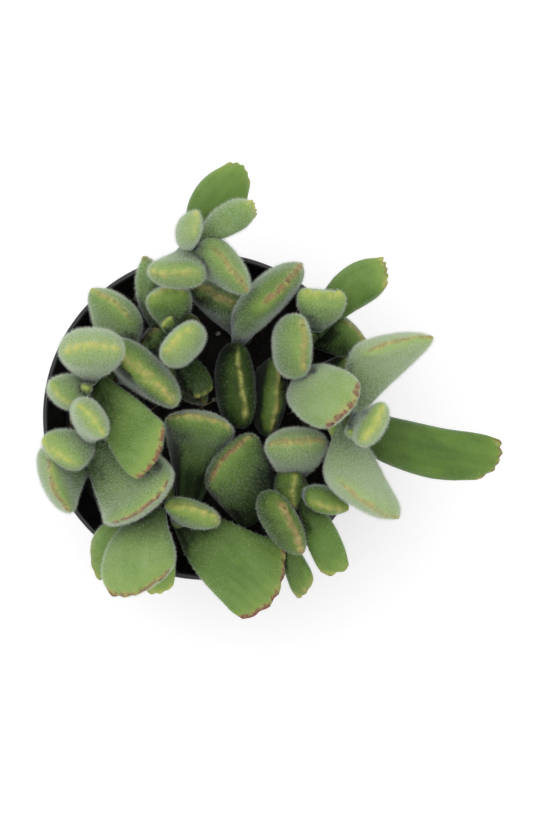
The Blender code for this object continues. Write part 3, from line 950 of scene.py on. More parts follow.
# Colours of the leaves
DEEP_GREEN_IN_SHADE = (0.0180, 0.0420, 0.0050, 1.0)
LEAF_GREEN = (0.110, 0.205, 0.032, 1.0)
FRESH_GREEN = (0.215, 0.335, 0.085, 1.0)
PALE_GREEN = (0.330, 0.450, 0.190, 1.0)
FOOT_SHADE_GREEN = (0.022, 0.048, 0.006, 1.0)
GLOW_GREEN = (0.330, 0.460, 0.085, 1.0)
BLOOM_GREY = (0.410, 0.510, 0.360, 1.0)
RIDGE_CREAM = (0.560, 0.570, 0.150, 1.0)
RIDGE_TAN = (0.500, 0.370, 0.160, 1.0)
RUST = (0.180, 0.050, 0.030, 1.0)
MAUVE = (0.210, 0.055, 0.075, 1.0)
TOOTH_DARK = (0.060, 0.022, 0.014, 1.0)
SHADE_GREEN = (0.0030, 0.0065, 0.0020, 1.0)
HAIR_ROOT = (0.640, 0.730, 0.450, 1.0)
HAIR_TIP = (0.9500, 0.9800, 0.9750, 1.0)
HAIR_SHADE = (0.020, 0.026, 0.018, 1.0)


def times(tree, *values):
    """The product of several values."""
    product = values[0]
    for value in values[1:]:
        product = calculate(tree, "MULTIPLY", product, value)
    return product


def make_leaf_material(name, sheen, gloss):
    """A plump leaf's skin: green clouds, a yellower glow and a coloured band at its ridge, felt, and painted
    shade towards its foot and where the plant is closed in.
    """
    material, tree, shader = new_material(
        name, 0.6, Specular_IOR_Level=gloss,
        Sheen_Weight=sheen, Sheen_Roughness=0.38, Sheen_Tint=(0.88, 0.96, 1.0, 1.0),
    )
    place = attribute(tree, "grain", "Vector")
    run = attribute(tree, "run", "Vector")
    ahead = attribute(tree, "ahead")
    seam = attribute(tree, "seam")
    fuzz = attribute(tree, "fuzz")
    blush = attribute(tree, "blush")
    tooth = attribute(tree, "tooth")
    # Body colour, in soft clouds and in faint veins that fan out from the foot
    clouds = noise_value(tree, stretched(tree, place, (0.22, 0.12, 0.22)), 1.0, detail=3.0)
    swing = fade(tree, clouds, 0.3, 0.7, -0.08, 0.08)
    veins = noise_value(tree, attribute(tree, "fan", "Vector"), 1.0, detail=2.0)
    swing = calculate(tree, "ADD", swing, fade(tree, veins, 0.35, 0.65, -0.025, 0.025))
    tone_and_shade = calculate(tree, "ADD", attribute(tree, "tone_and_shade"), swing, clamp=True)
    # The tone runs from a deep green, which also paints the shade on leaves low in the plant, to a pale green
    body = colour_scale(
        tree,
        tone_and_shade,
        ((0.0, DEEP_GREEN_IN_SHADE), (0.38, LEAF_GREEN), (0.72, FRESH_GREEN), (1.0, PALE_GREEN)),
    )
    # Painted shade: darker towards each leaf's foot, down among the other leaves
    body = blend_colours(tree, fade(tree, ahead, 0.70, 0.06, 0.0, 0.85), body, FOOT_SHADE_GREEN)
    # The felt's pale bloom, in fine flecks
    flecks = noise_value(tree, stretched(tree, place, (3.6, 1.7, 3.6)), 1.0, detail=2.0)
    bloom = times(tree, fade(tree, flecks, 0.36, 0.66), fuzz, fuzz, fuzz, 0.70)
    body = blend_colours(tree, bloom, body, BLOOM_GREY)
    # Lighter and yellower towards the ridge
    wander = noise_value(tree, place, 0.30)
    patchy = fade(tree, wander, 0.3, 0.7, 0.45, 1.0)
    glow = times(tree, fade(tree, seam, 5.5, 0.6), patchy, attribute(tree, "glow"))
    body = blend_colours(tree, times(tree, glow, 0.8), body, GLOW_GREEN)
    # The ridge's band, from cream to tan, uneven along its run and widest on the teeth
    ragged = noise_value(tree, stretched(tree, run, (0.45, 1.0, 1.0)), 1.0, detail=2.0)
    width = times(tree, attribute(tree, "band"), fade(tree, ragged, 0.30, 0.70, 0.30, 1.10))
    width = calculate(tree, "ADD", width, times(tree, tooth, 0.40))
    inside = calculate(tree, "SUBTRACT", width, seam)
    broken = fade(tree, noise_value(tree, place, 0.55), 0.32, 0.62, 0.18, 0.66)
    notched = fade(tree, tooth, 0.0, 0.30, 0.66, 1.15)
    band = times(tree, fade(tree, inside, -1.10, 0.75), broken, notched)
    warm = fade(tree, wander, 0.3, 0.7, -0.2, 0.2)
    warm = calculate(tree, "ADD", attribute(tree, "warmth"), warm, clamp=True)
    colour = blend_colours(tree, band, body, blend_colours(tree, warm, RIDGE_CREAM, RIDGE_TAN))
    # Rusty and mauve marks that come and go along the seam
    dashes = noise_value(tree, stretched(tree, run, (0.75, 1.7, 1.0)), 1.0, detail=2.0)
    scab = noise_value(tree, place, 1.6, detail=2.0)
    near = calculate(tree, "ADD", seam, fade(tree, scab, 0.3, 0.7, -0.35, 0.35))
    marks = times(tree, fade(tree, dashes, 0.37, 0.51), fade(tree, near, 1.15, 0.45), blush, 0.90)
    colour = blend_colours(tree, marks, colour, blend_colours(tree, fade(tree, scab, 0.4, 0.6), RUST, MAUVE))
    # Dark tips on the teeth, and a few dark specks
    browned = fade(tree, blush, 0.0, 0.5, 0.1, 0.8)
    tips = times(tree, fade(tree, tooth, 0.70, 0.95), fade(tree, seam, 0.6, 0.2), browned)
    colour = blend_colours(tree, tips, colour, TOOTH_DARK)
    specks = use_group(tree, SPECKS, place, Scale=0.55, Size=0.085, Share=0.07)
    colour = blend_colours(tree, times(tree, specks, 0.75), colour, TOOTH_DARK)
    # Painted shade: darkest where the plant is closed in
    shade = fade(tree, attribute(tree, "open"), 0.27, 0.0, 0.0, 0.90)
    colour = blend_colours(tree, shade, colour, SHADE_GREEN)
    plug(tree, colour, shader["Base Color"])
    plug(tree, fade(tree, clouds, 0.3, 0.7, 0.55, 0.68), shader["Roughness"])
    pores = noise_value(tree, stretched(tree, place, (4.5, 2.6, 4.5)), 1.0, detail=2.0)
    normal = relief(tree, pores, 0.00010, strength=0.7)
    normal = relief(tree, wander, 0.00035, strength=0.6, normal=normal)
    plug(tree, normal, shader["Normal"])
    return material


def make_hair_material():
    material, tree, shader = new_material("white_felt", 0.6, Specular_IOR_Level=0.3)
    colour = blend_colours(tree, attribute(tree, "tip"), HAIR_ROOT, HAIR_TIP)
    # Painted shade on the hairs where the plant is closed in
    shade = fade(tree, attribute(tree, "open"), 0.13, 0.0, 0.0, 0.85)
    plug(tree, blend_colours(tree, shade, colour, HAIR_SHADE), shader["Base Color"])
    return material


STEM_WOOD = (0.085, 0.055, 0.030, 1.0)
STEM_GREEN = (0.130, 0.190, 0.055, 1.0)
STEM_SCAR = (0.050, 0.032, 0.020, 1.0)


def make_stem_material():
    material, tree, shader = new_material("young_bark", 0.8)
    place = object_place(tree)
    rise = attribute(tree, "rise")
    patches = noise_value(tree, place, 260.0, detail=4.0)
    grown = calculate(tree, "ADD", rise, fade(tree, patches, 0.3, 0.7, -0.25, 0.25), clamp=True)
    colour = blend_colours(tree, fade(tree, grown, 0.25, 0.85), STEM_WOOD, STEM_GREEN)
    colour = blend_colours(tree, attribute(tree, "scar"), colour, STEM_SCAR)
    specks = use_group(tree, SPECKS, place, Scale=900.0, Size=0.25, Share=0.25)
    colour = blend_colours(tree, calculate(tree, "MULTIPLY", specks, 0.5), colour, STEM_SCAR)
    plug(tree, colour, shader["Base Color"])
    plug(tree, relief(tree, patches, 0.0003, strength=0.7), shader["Normal"])
    return material


PLASTIC_BLACK = (0.0095, 0.0100, 0.0115, 1.0)
PLASTIC_WORN = (0.034, 0.035, 0.038, 1.0)
DUST_BROWN = (0.120, 0.095, 0.070, 1.0)


def make_pot_material():
    material, tree, shader = new_material("black_nursery_plastic", 0.42, Specular_IOR_Level=0.5)
    place = object_place(tree)
    worn = use_group(tree, MOTTLE, place, Scale=55.0, Low=0.45, High=0.75)
    scuffs = noise_value(tree, stretched(tree, place, (900.0, 900.0, 60.0)), 1.0, detail=3.0)
    scuffs = calculate(tree, "MULTIPLY", fade(tree, scuffs, 0.60, 0.72), worn)
    colour = blend_colours(tree, calculate(tree, "MULTIPLY", scuffs, 0.6), PLASTIC_BLACK, PLASTIC_WORN)
    crumbs = use_group(tree, SPECKS, place, Scale=420.0, Size=0.16, Share=0.12)
    dusty = use_group(tree, MOTTLE, place, Scale=32.0, Low=0.50, High=0.72)
    dust = calculate(tree, "MULTIPLY", crumbs, dusty)
    film = calculate(tree, "MULTIPLY", dusty, 0.05)
    colour = blend_colours(tree, calculate(tree, "MAXIMUM", dust, film), colour, DUST_BROWN)
    plug(tree, colour, shader["Base Color"])
    plug(tree, fade(tree, worn, 0.0, 1.0, 0.36, 0.55), shader["Roughness"])
    peel = noise_value(tree, place, 1400.0, detail=2.0)
    flow = noise_value(tree, stretched(tree, place, (60.0, 60.0, 240.0)), 1.0, detail=2.0)
    normal = relief(tree, peel, 0.00004, strength=0.6)
    plug(tree, relief(tree, flow, 0.00010, strength=0.4, normal=normal), shader["Normal"])
    return material


PEAT_DARK = (0.0042, 0.0034, 0.0028, 1.0)
PEAT_BROWN = (0.013, 0.0095, 0.0065, 1.0)
PEAT_FLECK = (0.055, 0.040, 0.025, 1.0)
BARK_DARK = (0.009, 0.006, 0.0045, 1.0)
BARK_RED = (0.036, 0.020, 0.012, 1.0)
PERLITE_WHITE = (0.640, 0.620, 0.560, 1.0)
PERLITE_SOILED = (0.260, 0.220, 0.160, 1.0)
STRAW_PALE = (0.420, 0.310, 0.150, 1.0)
STRAW_BROWN = (0.160, 0.095, 0.045, 1.0)


def make_crumbly_material(name, dark, light, fleck, scale):
    """Peat, bark, perlite and straw: two colours in patches, with flecks of a third."""
    material, tree, shader = new_material(name, 0.92)
    place = object_place(tree)
    patches = use_group(tree, MOTTLE, place, Scale=scale, Low=0.36, High=0.64)
    colour = blend_colours(tree, patches, dark, light)
    flecks = use_group(tree, SPECKS, place, Scale=scale * 3.0, Size=0.22, Share=0.10)
    colour = blend_colours(tree, flecks, colour, fleck)
    plug(tree, colour, shader["Base Color"])
    rough = noise_value(tree, place, scale * 4.0, detail=4.0)
    plug(tree, relief(tree, rough, 0.0004, strength=0.8), shader["Normal"])
    return material


def make_floor_material():
    material, tree, shader = new_material("pale_floor", 0.7, Specular_IOR_Level=0.1)
    cloud = use_group(tree, MOTTLE, object_place(tree), Scale=3.0, Low=0.3, High=0.7)
    colour = blend_colours(tree, cloud, (0.90, 0.90, 0.90, 1.0), (0.92, 0.92, 0.92, 1.0))
    plug(tree, colour, shader["Base Color"])
    shader["Emission Color"].default_value = (1.0, 1.0, 1.0, 1.0)
    shader["Emission Strength"].default_value = FLOOR_GLOW
    return material


# The leaves


def leaf_frame(spec, route):
    """The leaf's foot, its ridge's middle, and its directions: along, across and to its upper side.

    It grows from the middle of its stem, at the place nearest to the foot that it is given. The
    ridge may stand askew on the leaf, so across comes with the part of it that lies along.
    """
    foot = nearest_on(route, at_rim(spec["foot"]))
    tip = route[-1] + Vector((0, 0, TIP_ABOVE_STEM * MM))
    corner_a, corner_b = (at_rim(corner) for corner in spec["corners"])
    middle = (corner_a + corner_b) / 2
    along = (middle - foot).normalized()
    ridge = (corner_b - corner_a) / 2
    skew = ridge.dot(along)
    across = ridge - along * skew
    upper = across.cross(along).normalized()
    if upper.dot(tip - (foot + middle) / 2) < 0:
        upper = -upper
    return foot, middle, along, across, skew, upper


def teeth_along(spec, place, draw):
    """How far each place along the ridge, from -1 to 1, stands on a tooth."""
    count = int(spec["teeth"])
    sizes = draw.uniform(0.45, 1.0, count)
    shift = draw.uniform(-0.12, 0.12)
    run = np.clip((place + 1) / 2 + shift * 0.3 * (1 - place**2), 0.0, 0.9999) * count
    number = np.floor(run).astype(int)
    share = run - number
    return np.sin(math.pi * share) ** TOOTH_SHARPNESS * sizes[number]


def waves(first, second, amount, draw, pitch):
    """A gentle unevenness made of three crossing waves."""
    phases = draw.uniform(0, 2 * math.pi, 3)
    return (
        amount * 0.50 * np.sin(pitch * second + 0.45 * pitch * first + phases[0])
        + amount * 0.32 * np.sin(1.7 * pitch * first - 0.6 * pitch * second + phases[1])
        + amount * 0.18 * np.sin(2.9 * pitch * (first + second) + phases[2])
    )


def shape_leaf(obj, spec, route, seed):
    """Gives a copy of the sleeve the form of one leaf, and keeps what its colours need."""
    draw = np.random.default_rng(seed)
    foot, middle, along, across, skew, upper = leaf_frame(spec, route)
    length = (middle - foot).length / MM
    half_width = across.length / MM
    along, foot, upper = (np.array(v[:]) for v in (along, foot, upper))
    across = np.array(across.normalized()[:])
    sleeve = points_of(obj.data)
    cosine, sine, ahead = sleeve.T
    cosine = np.sign(cosine) * np.abs(cosine) ** BLUNTNESS
    sine = np.sign(sine) * np.abs(sine) ** BLUNTNESS
    ahead = np.clip(ahead, 0.0, 1.0)
    end = np.clip((ahead - END_STARTS) / (1 - END_STARTS), 0.0, 1.0)
    spread = smooth_between(LEAF_STATIONS, LEAF_SPREAD, ahead)
    deep = smooth_between(LEAF_STATIONS, LEAF_DEPTH, ahead) * np.sqrt(1 - end**2)
    wide = cosine * (spec["neck"] + (1 - spec["neck"]) * spread) * (1 - spec["corner"] * end**5)
    depth = sine * deep * spec["thick"] / 2 * np.where(sine > 0, UPPER_FLATNESS, 1.0)
    seam = np.hypot((1 - ahead) * length, depth)
    reach = half_width * wide
    tooth = teeth_along(spec, np.clip(wide / (LEAF_SPREAD[-1] * (1 - spec["corner"])), -1, 1), draw)
    # Lengthwise: crown, skew, crest and teeth
    lift = spec["crown"] * half_width * 2 * (1 - wide**2) * ahead**4
    lift += skew / MM * wide * ahead**2
    lift += CREST_HEIGHT * np.exp(-((seam / CREST_REACH) ** 2))
    lift += spec["tooth"] * tooth * np.exp(-((seam / (CREST_REACH + 0.3 * spec["tooth"])) ** 2))
    # Through the thickness: bow, the seam's sway, and the lumps
    bulge = length * 4 * ahead * (1 - ahead)
    phases = draw.uniform(0, 2 * math.pi, 3)
    sway = np.sin(0.28 * reach + phases[0]) + 0.45 * np.sin(0.75 * reach + phases[1])
    push = -spec["bow"] * bulge + SWAY * sway * np.exp(-((seam / SWAY_REACH) ** 2))
    push += PUCKER * np.sin(2.4 * reach + phases[2]) * np.sign(sine) * np.exp(-((seam / PUCKER_REACH) ** 2))
    fade_out = np.clip(ahead / 0.25, 0, 1) * np.clip(seam / 2.0, 0, 1)
    uneven = waves(reach, ahead * length, LUMP, draw, 0.42) * fade_out
    swell = 1 + (spec["belly"] - 1) * np.sin(math.pi * ahead**1.4)
    sideways = reach * swell + spec["swing"] * bulge + uneven * cosine
    forward = ahead * length + lift
    upward = depth + push + uneven * sine
    points = (
        foot
        + np.outer(forward * MM, along)
        + np.outer(sideways * MM, across)
        + np.outer(upward * MM, upper)
    )
    move_points(obj.data, points)
    mesh = obj.data
    store(mesh, "ahead", ahead)
    store(mesh, "seam", seam)
    store(mesh, "tooth", tooth)
    store(mesh, "grain", np.stack((reach, ahead * length, depth + seed * SEED_SHIFT), axis=1))
    store(mesh, "run", np.stack((reach, np.full(len(reach), seed * SEED_SHIFT), 0.2 * depth), axis=1))
    store(mesh, "fan", np.stack((VEINS * wide, ahead + seed * FAN_SHIFT, np.sign(sine)), axis=1))
    for look in ("tone_and_shade", "fuzz", "warmth", "blush", "band", "glow"):
        store(mesh, look, spec[look])


def make_leaf_sleeve():
    """The leaf that all are copied from: close rings at the end, where the ridge is."""
    stations = list(LEAF_BODY_RINGS)
    for turn in END_TURNS:
        stations.append(END_STARTS + (1 - END_STARTS) * math.sin(math.radians(turn)))
    return new_sleeve(LEAF_SIDES, stations, pinch=True)


def make_leaves(name, stem, route, sleeve, first_seed, felted, smooth):
    """All the leaves of one stem, as one piece."""
    made = []
    for index, spec in enumerate(stem["leaves"]):
        leaf_object = own_copy(sleeve, "%s_leaf_%d" % (name, index + 1))
        shape_leaf(leaf_object, spec, route, first_seed + index)
        leaf_object.data.materials.append(felted if spec["fuzz"] > WOOLLY else smooth)
        made.append(leaf_object)
    for obj in made:
        face_outwards(obj)
    return settle(join(made), name + "_leaves")


def store_openness(pieces, blockers):
    """Keeps, for each point of the pieces, the share of the room above its skin that is open, which paints
    shade on the leaves and hairs.
    """
    points, faces = [], []
    for obj in blockers:
        faces.append(triangles_of(obj.data) + sum(len(p) for p in points))
        points.append(points_of(obj.data))
    points = np.concatenate(points).tolist()
    faces = np.concatenate(faces).tolist()
    tree = BVHTree.FromPolygons(points, faces, all_triangles=True)
    draw = np.random.default_rng(OPEN_SEED)
    rays = unit(draw.normal(0, 1, (OPEN_RAYS, 3)))
    for obj in pieces:
        starts = points_of(obj.data)
        normals = normals_of(obj.data)
        found = np.zeros(len(starts))
        for index, (start, normal) in enumerate(zip(starts, normals)):
            start = Vector(start + normal * OPEN_LIFT * MM)
            for ray in unit(rays * 0.98 + normal):
                if tree.ray_cast(start, Vector(ray), OPEN_REACH * MM)[0] is None:
                    found[index] += 1
        store(obj.data, "open", found / OPEN_RAYS)


# The stems


def place_tube(obj, centres, radii):
    """Lays a sleeve, with a ring at each whole height, along a run of places."""
    centres = np.array([tuple(c) for c in centres])
    runs = np.gradient(centres, axis=0)
    runs /= np.linalg.norm(runs, axis=1)[:, None]
    side = np.cross(runs[0], (0.31, 0.95, 0.05))
    sides = []
    for run in runs:
        side = side - run * side.dot(run)
        side = side / np.linalg.norm(side)
        sides.append(side)
    sides = np.array(sides)
    others = np.cross(runs, sides)
    sleeve = points_of(obj.data)
    ring = np.round(sleeve[:, 2]).astype(int)
    radius = radii[ring]
    points = (
        centres[ring]
        + sides[ring] * (sleeve[:, 0] * radius)[:, None]
        + others[ring] * (sleeve[:, 1] * radius)[:, None]
    )
    move_points(obj.data, points)
    return ring


def along_route(route, count):
    """Evenly spaced places on a run of points, and how far along each one is."""
    places = np.array([tuple(p) for p in route])
    steps = np.linalg.norm(np.diff(places, axis=0), axis=1)
    walked = np.concatenate([[0.0], np.cumsum(steps)])
    at = np.linspace(0, walked[-1], count)
    return np.stack([np.interp(at, walked, places[:, axis]) for axis in range(3)], axis=1), at / MM


def make_stem(name, stem, route, sleeve, material):
    """The bare stem, from its buried foot to its tip, ringed with the scars of fallen leaves."""
    foot = Vector(route[0]) - Vector((0, 0, BURIED_DEPTH * MM))
    centres, walked = along_route([foot, *route], STEM_RINGS + 1)
    thick, thin = stem["radius"]
    rise = np.clip((walked - BURIED_DEPTH) / (walked[-1] - BURIED_DEPTH), 0, 1)
    scar = np.clip(np.cos(2 * math.pi * walked / SCAR_SPACING), 0, 1) ** 3
    radii = (thick + (thin - thick) * rise + SCAR_HEIGHT * scar) * MM
    radii[-1] *= 0.45
    radii[-2] *= 0.88
    obj = own_copy(sleeve, name)
    ring = place_tube(obj, centres, radii)
    store(obj.data, "rise", rise[ring])
    store(obj.data, "scar", scar[ring] * 0.6)
    face_outwards(obj)
    settle(obj, name + "_stem")
    obj.data.materials.append(material)
    return obj


# The felt of hairs


def new_hair():
    """The hair that all are copied from: a closed three-sided spike, 1 across and 1 long."""
    deselect_all()
    bpy.ops.mesh.primitive_cone_add(vertices=3, radius1=1.0, radius2=0.0, depth=1.0, location=(0, 0, 0.5))
    hair = bpy.context.object
    bpy.ops.object.transform_apply(location=True)
    bpy.ops.object.mode_set(mode="EDIT")
    bpy.ops.mesh.select_all(action="SELECT")
    bpy.ops.mesh.quads_convert_to_tris()
    bpy.ops.mesh.normals_make_consistent(inside=False)
    bpy.ops.object.mode_set(mode="OBJECT")
    return hair


def normals_of(mesh):
    normals = np.empty(len(mesh.vertices) * 3, np.float32)
    mesh.vertices.foreach_get("normal", normals)
    return normals.reshape(-1, 3).astype(np.float64)


def triangles_of(mesh):
    """A mesh's triangles, sorted by their places, because Blender's order changes from run to run."""
    mesh.calc_loop_triangles()
    corners = np.empty(len(mesh.loop_triangles) * 3, np.int32)
    mesh.loop_triangles.foreach_get("vertices", corners)
    corners = corners.reshape(-1, 3)
    rank = np.empty(len(mesh.vertices), np.int32)
    rank[np.lexsort(points_of(mesh).T)] = np.arange(len(mesh.vertices))
    turn = (rank[corners].argmin(axis=1)[:, None] + np.arange(3)) % 3
    corners = np.take_along_axis(corners, turn, axis=1)
    return corners[np.lexsort(rank[corners].T)]


def mesh_from(name, points, triangles):
    """A mesh of many copies, from their points and triangles."""
    mesh = bpy.data.meshes.new(name)
    mesh.vertices.add(len(points))
    mesh.loops.add(triangles.size)
    mesh.polygons.add(len(triangles))
    mesh.vertices.foreach_set("co", np.ascontiguousarray(points, np.float32).ravel())
    mesh.loops.foreach_set("vertex_index", np.ascontiguousarray(triangles, np.int32).ravel())
    mesh.polygons.foreach_set("loop_start", np.arange(0, triangles.size, 3, dtype=np.int32))
    mesh.update(calc_edges=True)
    obj = bpy.data.objects.new(name, mesh)
    bpy.context.scene.collection.objects.link(obj)
    return obj


def unit(vectors):
    return vectors / np.linalg.norm(vectors, axis=1)[:, None]


def make_hairs(name, leaves, hair, seed, material):
    """Short hairs all over the leaves of one stem, denser where a leaf is felted."""
    draw = np.random.default_rng(seed)
    mesh = leaves.data
    points = points_of(mesh)
    normals = normals_of(mesh)
    corners = triangles_of(mesh)
    first, second, third = (points[corners[:, i]] for i in range(3))
    area = np.linalg.norm(np.cross(second - first, third - first), axis=1) / 2 / MM**2
    fuzz = read(mesh, "fuzz")[corners].mean(axis=1)
    ahead = read(mesh, "ahead")[corners].mean(axis=1)
    seam = read(mesh, "seam")[corners].mean(axis=1)
    height = points[corners][:, :, 2].mean(axis=1) / MM - POT_HEIGHT
    density = HAIRS_PER_MM2 * (0.06 + 1.1 * fuzz**1.3)
    density *= np.clip((ahead - 0.08) / 0.42, 0, 1)
    density *= np.clip((height + 10) / 14, 0.25, 1)
    density *= np.clip(seam / 0.8, 0.25, 1)
    count = np.floor(area * density + draw.random(len(area))).astype(int)
    chosen = np.repeat(np.arange(len(area)), count)
    total = len(chosen)
    one = np.sqrt(draw.random(total))
    two = draw.random(total)
    weights = np.stack((1 - one, one * (1 - two), one * two), axis=1)[:, :, None]
    roots = (points[corners[chosen]] * weights).sum(axis=1)
    out = unit((normals[corners[chosen]] * weights).sum(axis=1))
    out = unit(out + draw.normal(0, HAIR_JITTER, (total, 3)))
    side = unit(np.cross(out, draw.normal(0, 1, (total, 3))))
    other = np.cross(out, side)
    longer = HAIR_LENGTH * (0.65 + 0.5 * fuzz[chosen]) * draw.uniform(0.55, 1.35, total) * MM
    radius = HAIR_RADIUS * draw.uniform(0.8, 1.2, total) * MM
    template = points_of(hair.data)
    faces = triangles_of(hair.data)
    roots = roots - out * HAIR_SUNK * MM
    placed = (
        roots[:, None, :]
        + side[:, None, :] * (template[None, :, 0] * radius[:, None])[:, :, None]
        + other[:, None, :] * (template[None, :, 1] * radius[:, None])[:, :, None]
        + out[:, None, :] * (template[None, :, 2] * longer[:, None])[:, :, None]
    )
    joined = faces[None, :, :] + (np.arange(total) * len(template))[:, None, None]
    obj = mesh_from(name + "_hairs", placed.reshape(-1, 3), joined.reshape(-1, 3))
    store(obj.data, "tip", np.tile(template[:, 2], total))
    store(obj.data, "open", np.repeat(read(mesh, "open")[corners[chosen]].mean(axis=1), len(template)))
    obj.data.materials.append(material)
    obj.data.shade_smooth()
    return obj


# The potting mix


def soil_height(x, y):
    """How far the mix stands above its edge, in millimetres: a low dome with soft lumps."""
    edge = inner_wall(POT_HEIGHT - SOIL_BELOW_RIM)
    dome = SOIL_DOME * (1.0 - (x * x + y * y) / (edge * edge))
    lumps = math.sin(x * 0.31 + 1.3) * math.cos(y * 0.27 - 0.4) + 0.6 * math.sin(0.47 * (x - y) + 2.0)
    return dome + SOIL_ROUGHNESS * lumps


def crumb_height(x, y):
    """The crumbs on top of that, from coarse to fine."""
    coarse = noise.noise(Vector((x * 0.55, y * 0.55, 3.1)))
    fine = noise.noise(Vector((x * 1.5, y * 1.5, 9.7)))
    return CRUMB_HEIGHT * (0.6 * coarse + 0.4 * fine)


def soil_surface(x, y):
    """The height of the mix's top at a place, with the edge kept level."""
    edge = inner_wall(POT_HEIGHT - SOIL_BELOW_RIM) - SOIL_CLEARANCE
    inside = max(0.0, min(1.0, (edge - math.hypot(x, y)) / SOIL_EDGE_FADE))
    level = POT_HEIGHT - SOIL_BELOW_RIM
    return level + soil_height(x, y) * inside + crumb_height(x, y) * min(1.0, inside * 3 + 0.25)


def make_soil(material):
    """The mix: one closed body with a crumbly top, against the pot's inner wall."""
    top = POT_HEIGHT - SOIL_BELOW_RIM
    bottom = FLOOR_THICKNESS + SOIL_CLEARANCE
    edge = inner_wall(top) - SOIL_CLEARANCE / 2
    profile = [(edge * (ring + 1) / SOIL_RINGS, top) for ring in range(SOIL_RINGS)]
    profile += [(inner_wall(h) - SOIL_CLEARANCE / 2, h) for h in (top - 3, top - 20, bottom)]
    profile += [(6.0, bottom)]
    soil = turn_from(profile, SOIL_SIDES, "soil")
    for vertex in soil.data.vertices:
        x, y, z = vertex.co / MM
        if z > top - SOIL_CLEARANCE:
            vertex.co.z = soil_surface(x, y) * MM
    take(soil)
    bpy.ops.object.shade_smooth()
    settle(soil, "soil_body")
    soil.data.materials.append(material)
    return soil


def new_grain(subdivisions):
    """A round grain that bits of the mix are copied from."""
    deselect_all()
    bpy.ops.mesh.primitive_ico_sphere_add(subdivisions=subdivisions, radius=1.0)
    return bpy.context.object


def random_turns(draw, count):
    """Random rotations, as three perpendicular directions each."""
    first = unit(draw.normal(0, 1, (count, 3)))
    second = unit(np.cross(first, draw.normal(0, 1, (count, 3))))
    return np.stack((first, second, np.cross(first, second)), axis=1)


def place_on_mix(draw, reach, index, near):
    """A random place within a reach of the axis, or the given one for the first few."""
    radius = reach * math.sqrt(draw.random())
    angle = draw.uniform(0, 2 * math.pi)
    if index < len(near):
        return near[index]
    return radius * math.cos(angle), radius * math.sin(angle)


def scatter(name, grain, count, sizes, roughness, sunk, seed, material, near=()):
    """Many unlike copies of a grain, lying on the mix, as one piece."""
    draw = np.random.default_rng(seed)
    template = points_of(grain.data)
    faces = triangles_of(grain.data)
    reach = inner_wall(POT_HEIGHT - SOIL_BELOW_RIM) - 1.6
    turns = random_turns(draw, count)
    placed = []
    for index in range(count):
        x, y = place_on_mix(draw, reach, index, near)
        size = np.array([draw.uniform(low, high) for low, high in sizes])
        lumpy = template * (1 + roughness * draw.uniform(-1, 1, (len(template), 1)))
        shape = (lumpy * size) @ turns[index]
        seat = soil_surface(x, y) + (size.min() * (1 - 2 * sunk))
        placed.append(shape + (x, y, seat))
    joined = faces[None, :, :] + (np.arange(count) * len(template))[:, None, None]
    obj = mesh_from(name, np.concatenate(placed) * MM, joined.reshape(-1, 3))
    obj.data.materials.append(material)
    return obj


def make_straw(name, sleeve, count, seed, material, near):
    """Dry straws and rootlets lying on the mix, each a thin bent tube."""
    draw = np.random.default_rng(seed)
    made = []
    reach = inner_wall(POT_HEIGHT - SOIL_BELOW_RIM) - 3.0
    for index in range(count):
        x, y = place_on_mix(draw, reach, index, near)
        heading = draw.uniform(0, 2 * math.pi)
        bend = draw.uniform(-0.22, 0.22)
        step = draw.uniform(0.5, 1.3)
        centres = []
        for ring in range(STRAW_RINGS + 1):
            lift = 0.15 + 0.5 * math.sin(math.pi * ring / STRAW_RINGS) * draw.uniform(0.4, 1.0)
            centres.append((x * MM, y * MM, (soil_surface(x, y) + lift) * MM))
            heading += bend
            x += step * math.cos(heading)
            y += step * math.sin(heading)
            away = math.hypot(x, y)
            if away > reach + 1.5:
                x *= (reach + 1.5) / away
                y *= (reach + 1.5) / away
        radii = np.full(STRAW_RINGS + 1, draw.uniform(0.10, 0.24) * MM)
        radii[[0, -1]] *= 0.5
        straw = own_copy(sleeve, "straw_%d" % (index + 1))
        place_tube(straw, centres, radii)
        made.append(straw)
    straws = settle(join(made), name)
    face_outwards(straws)
    straws.data.materials.append(material)
    return straws


# The pot


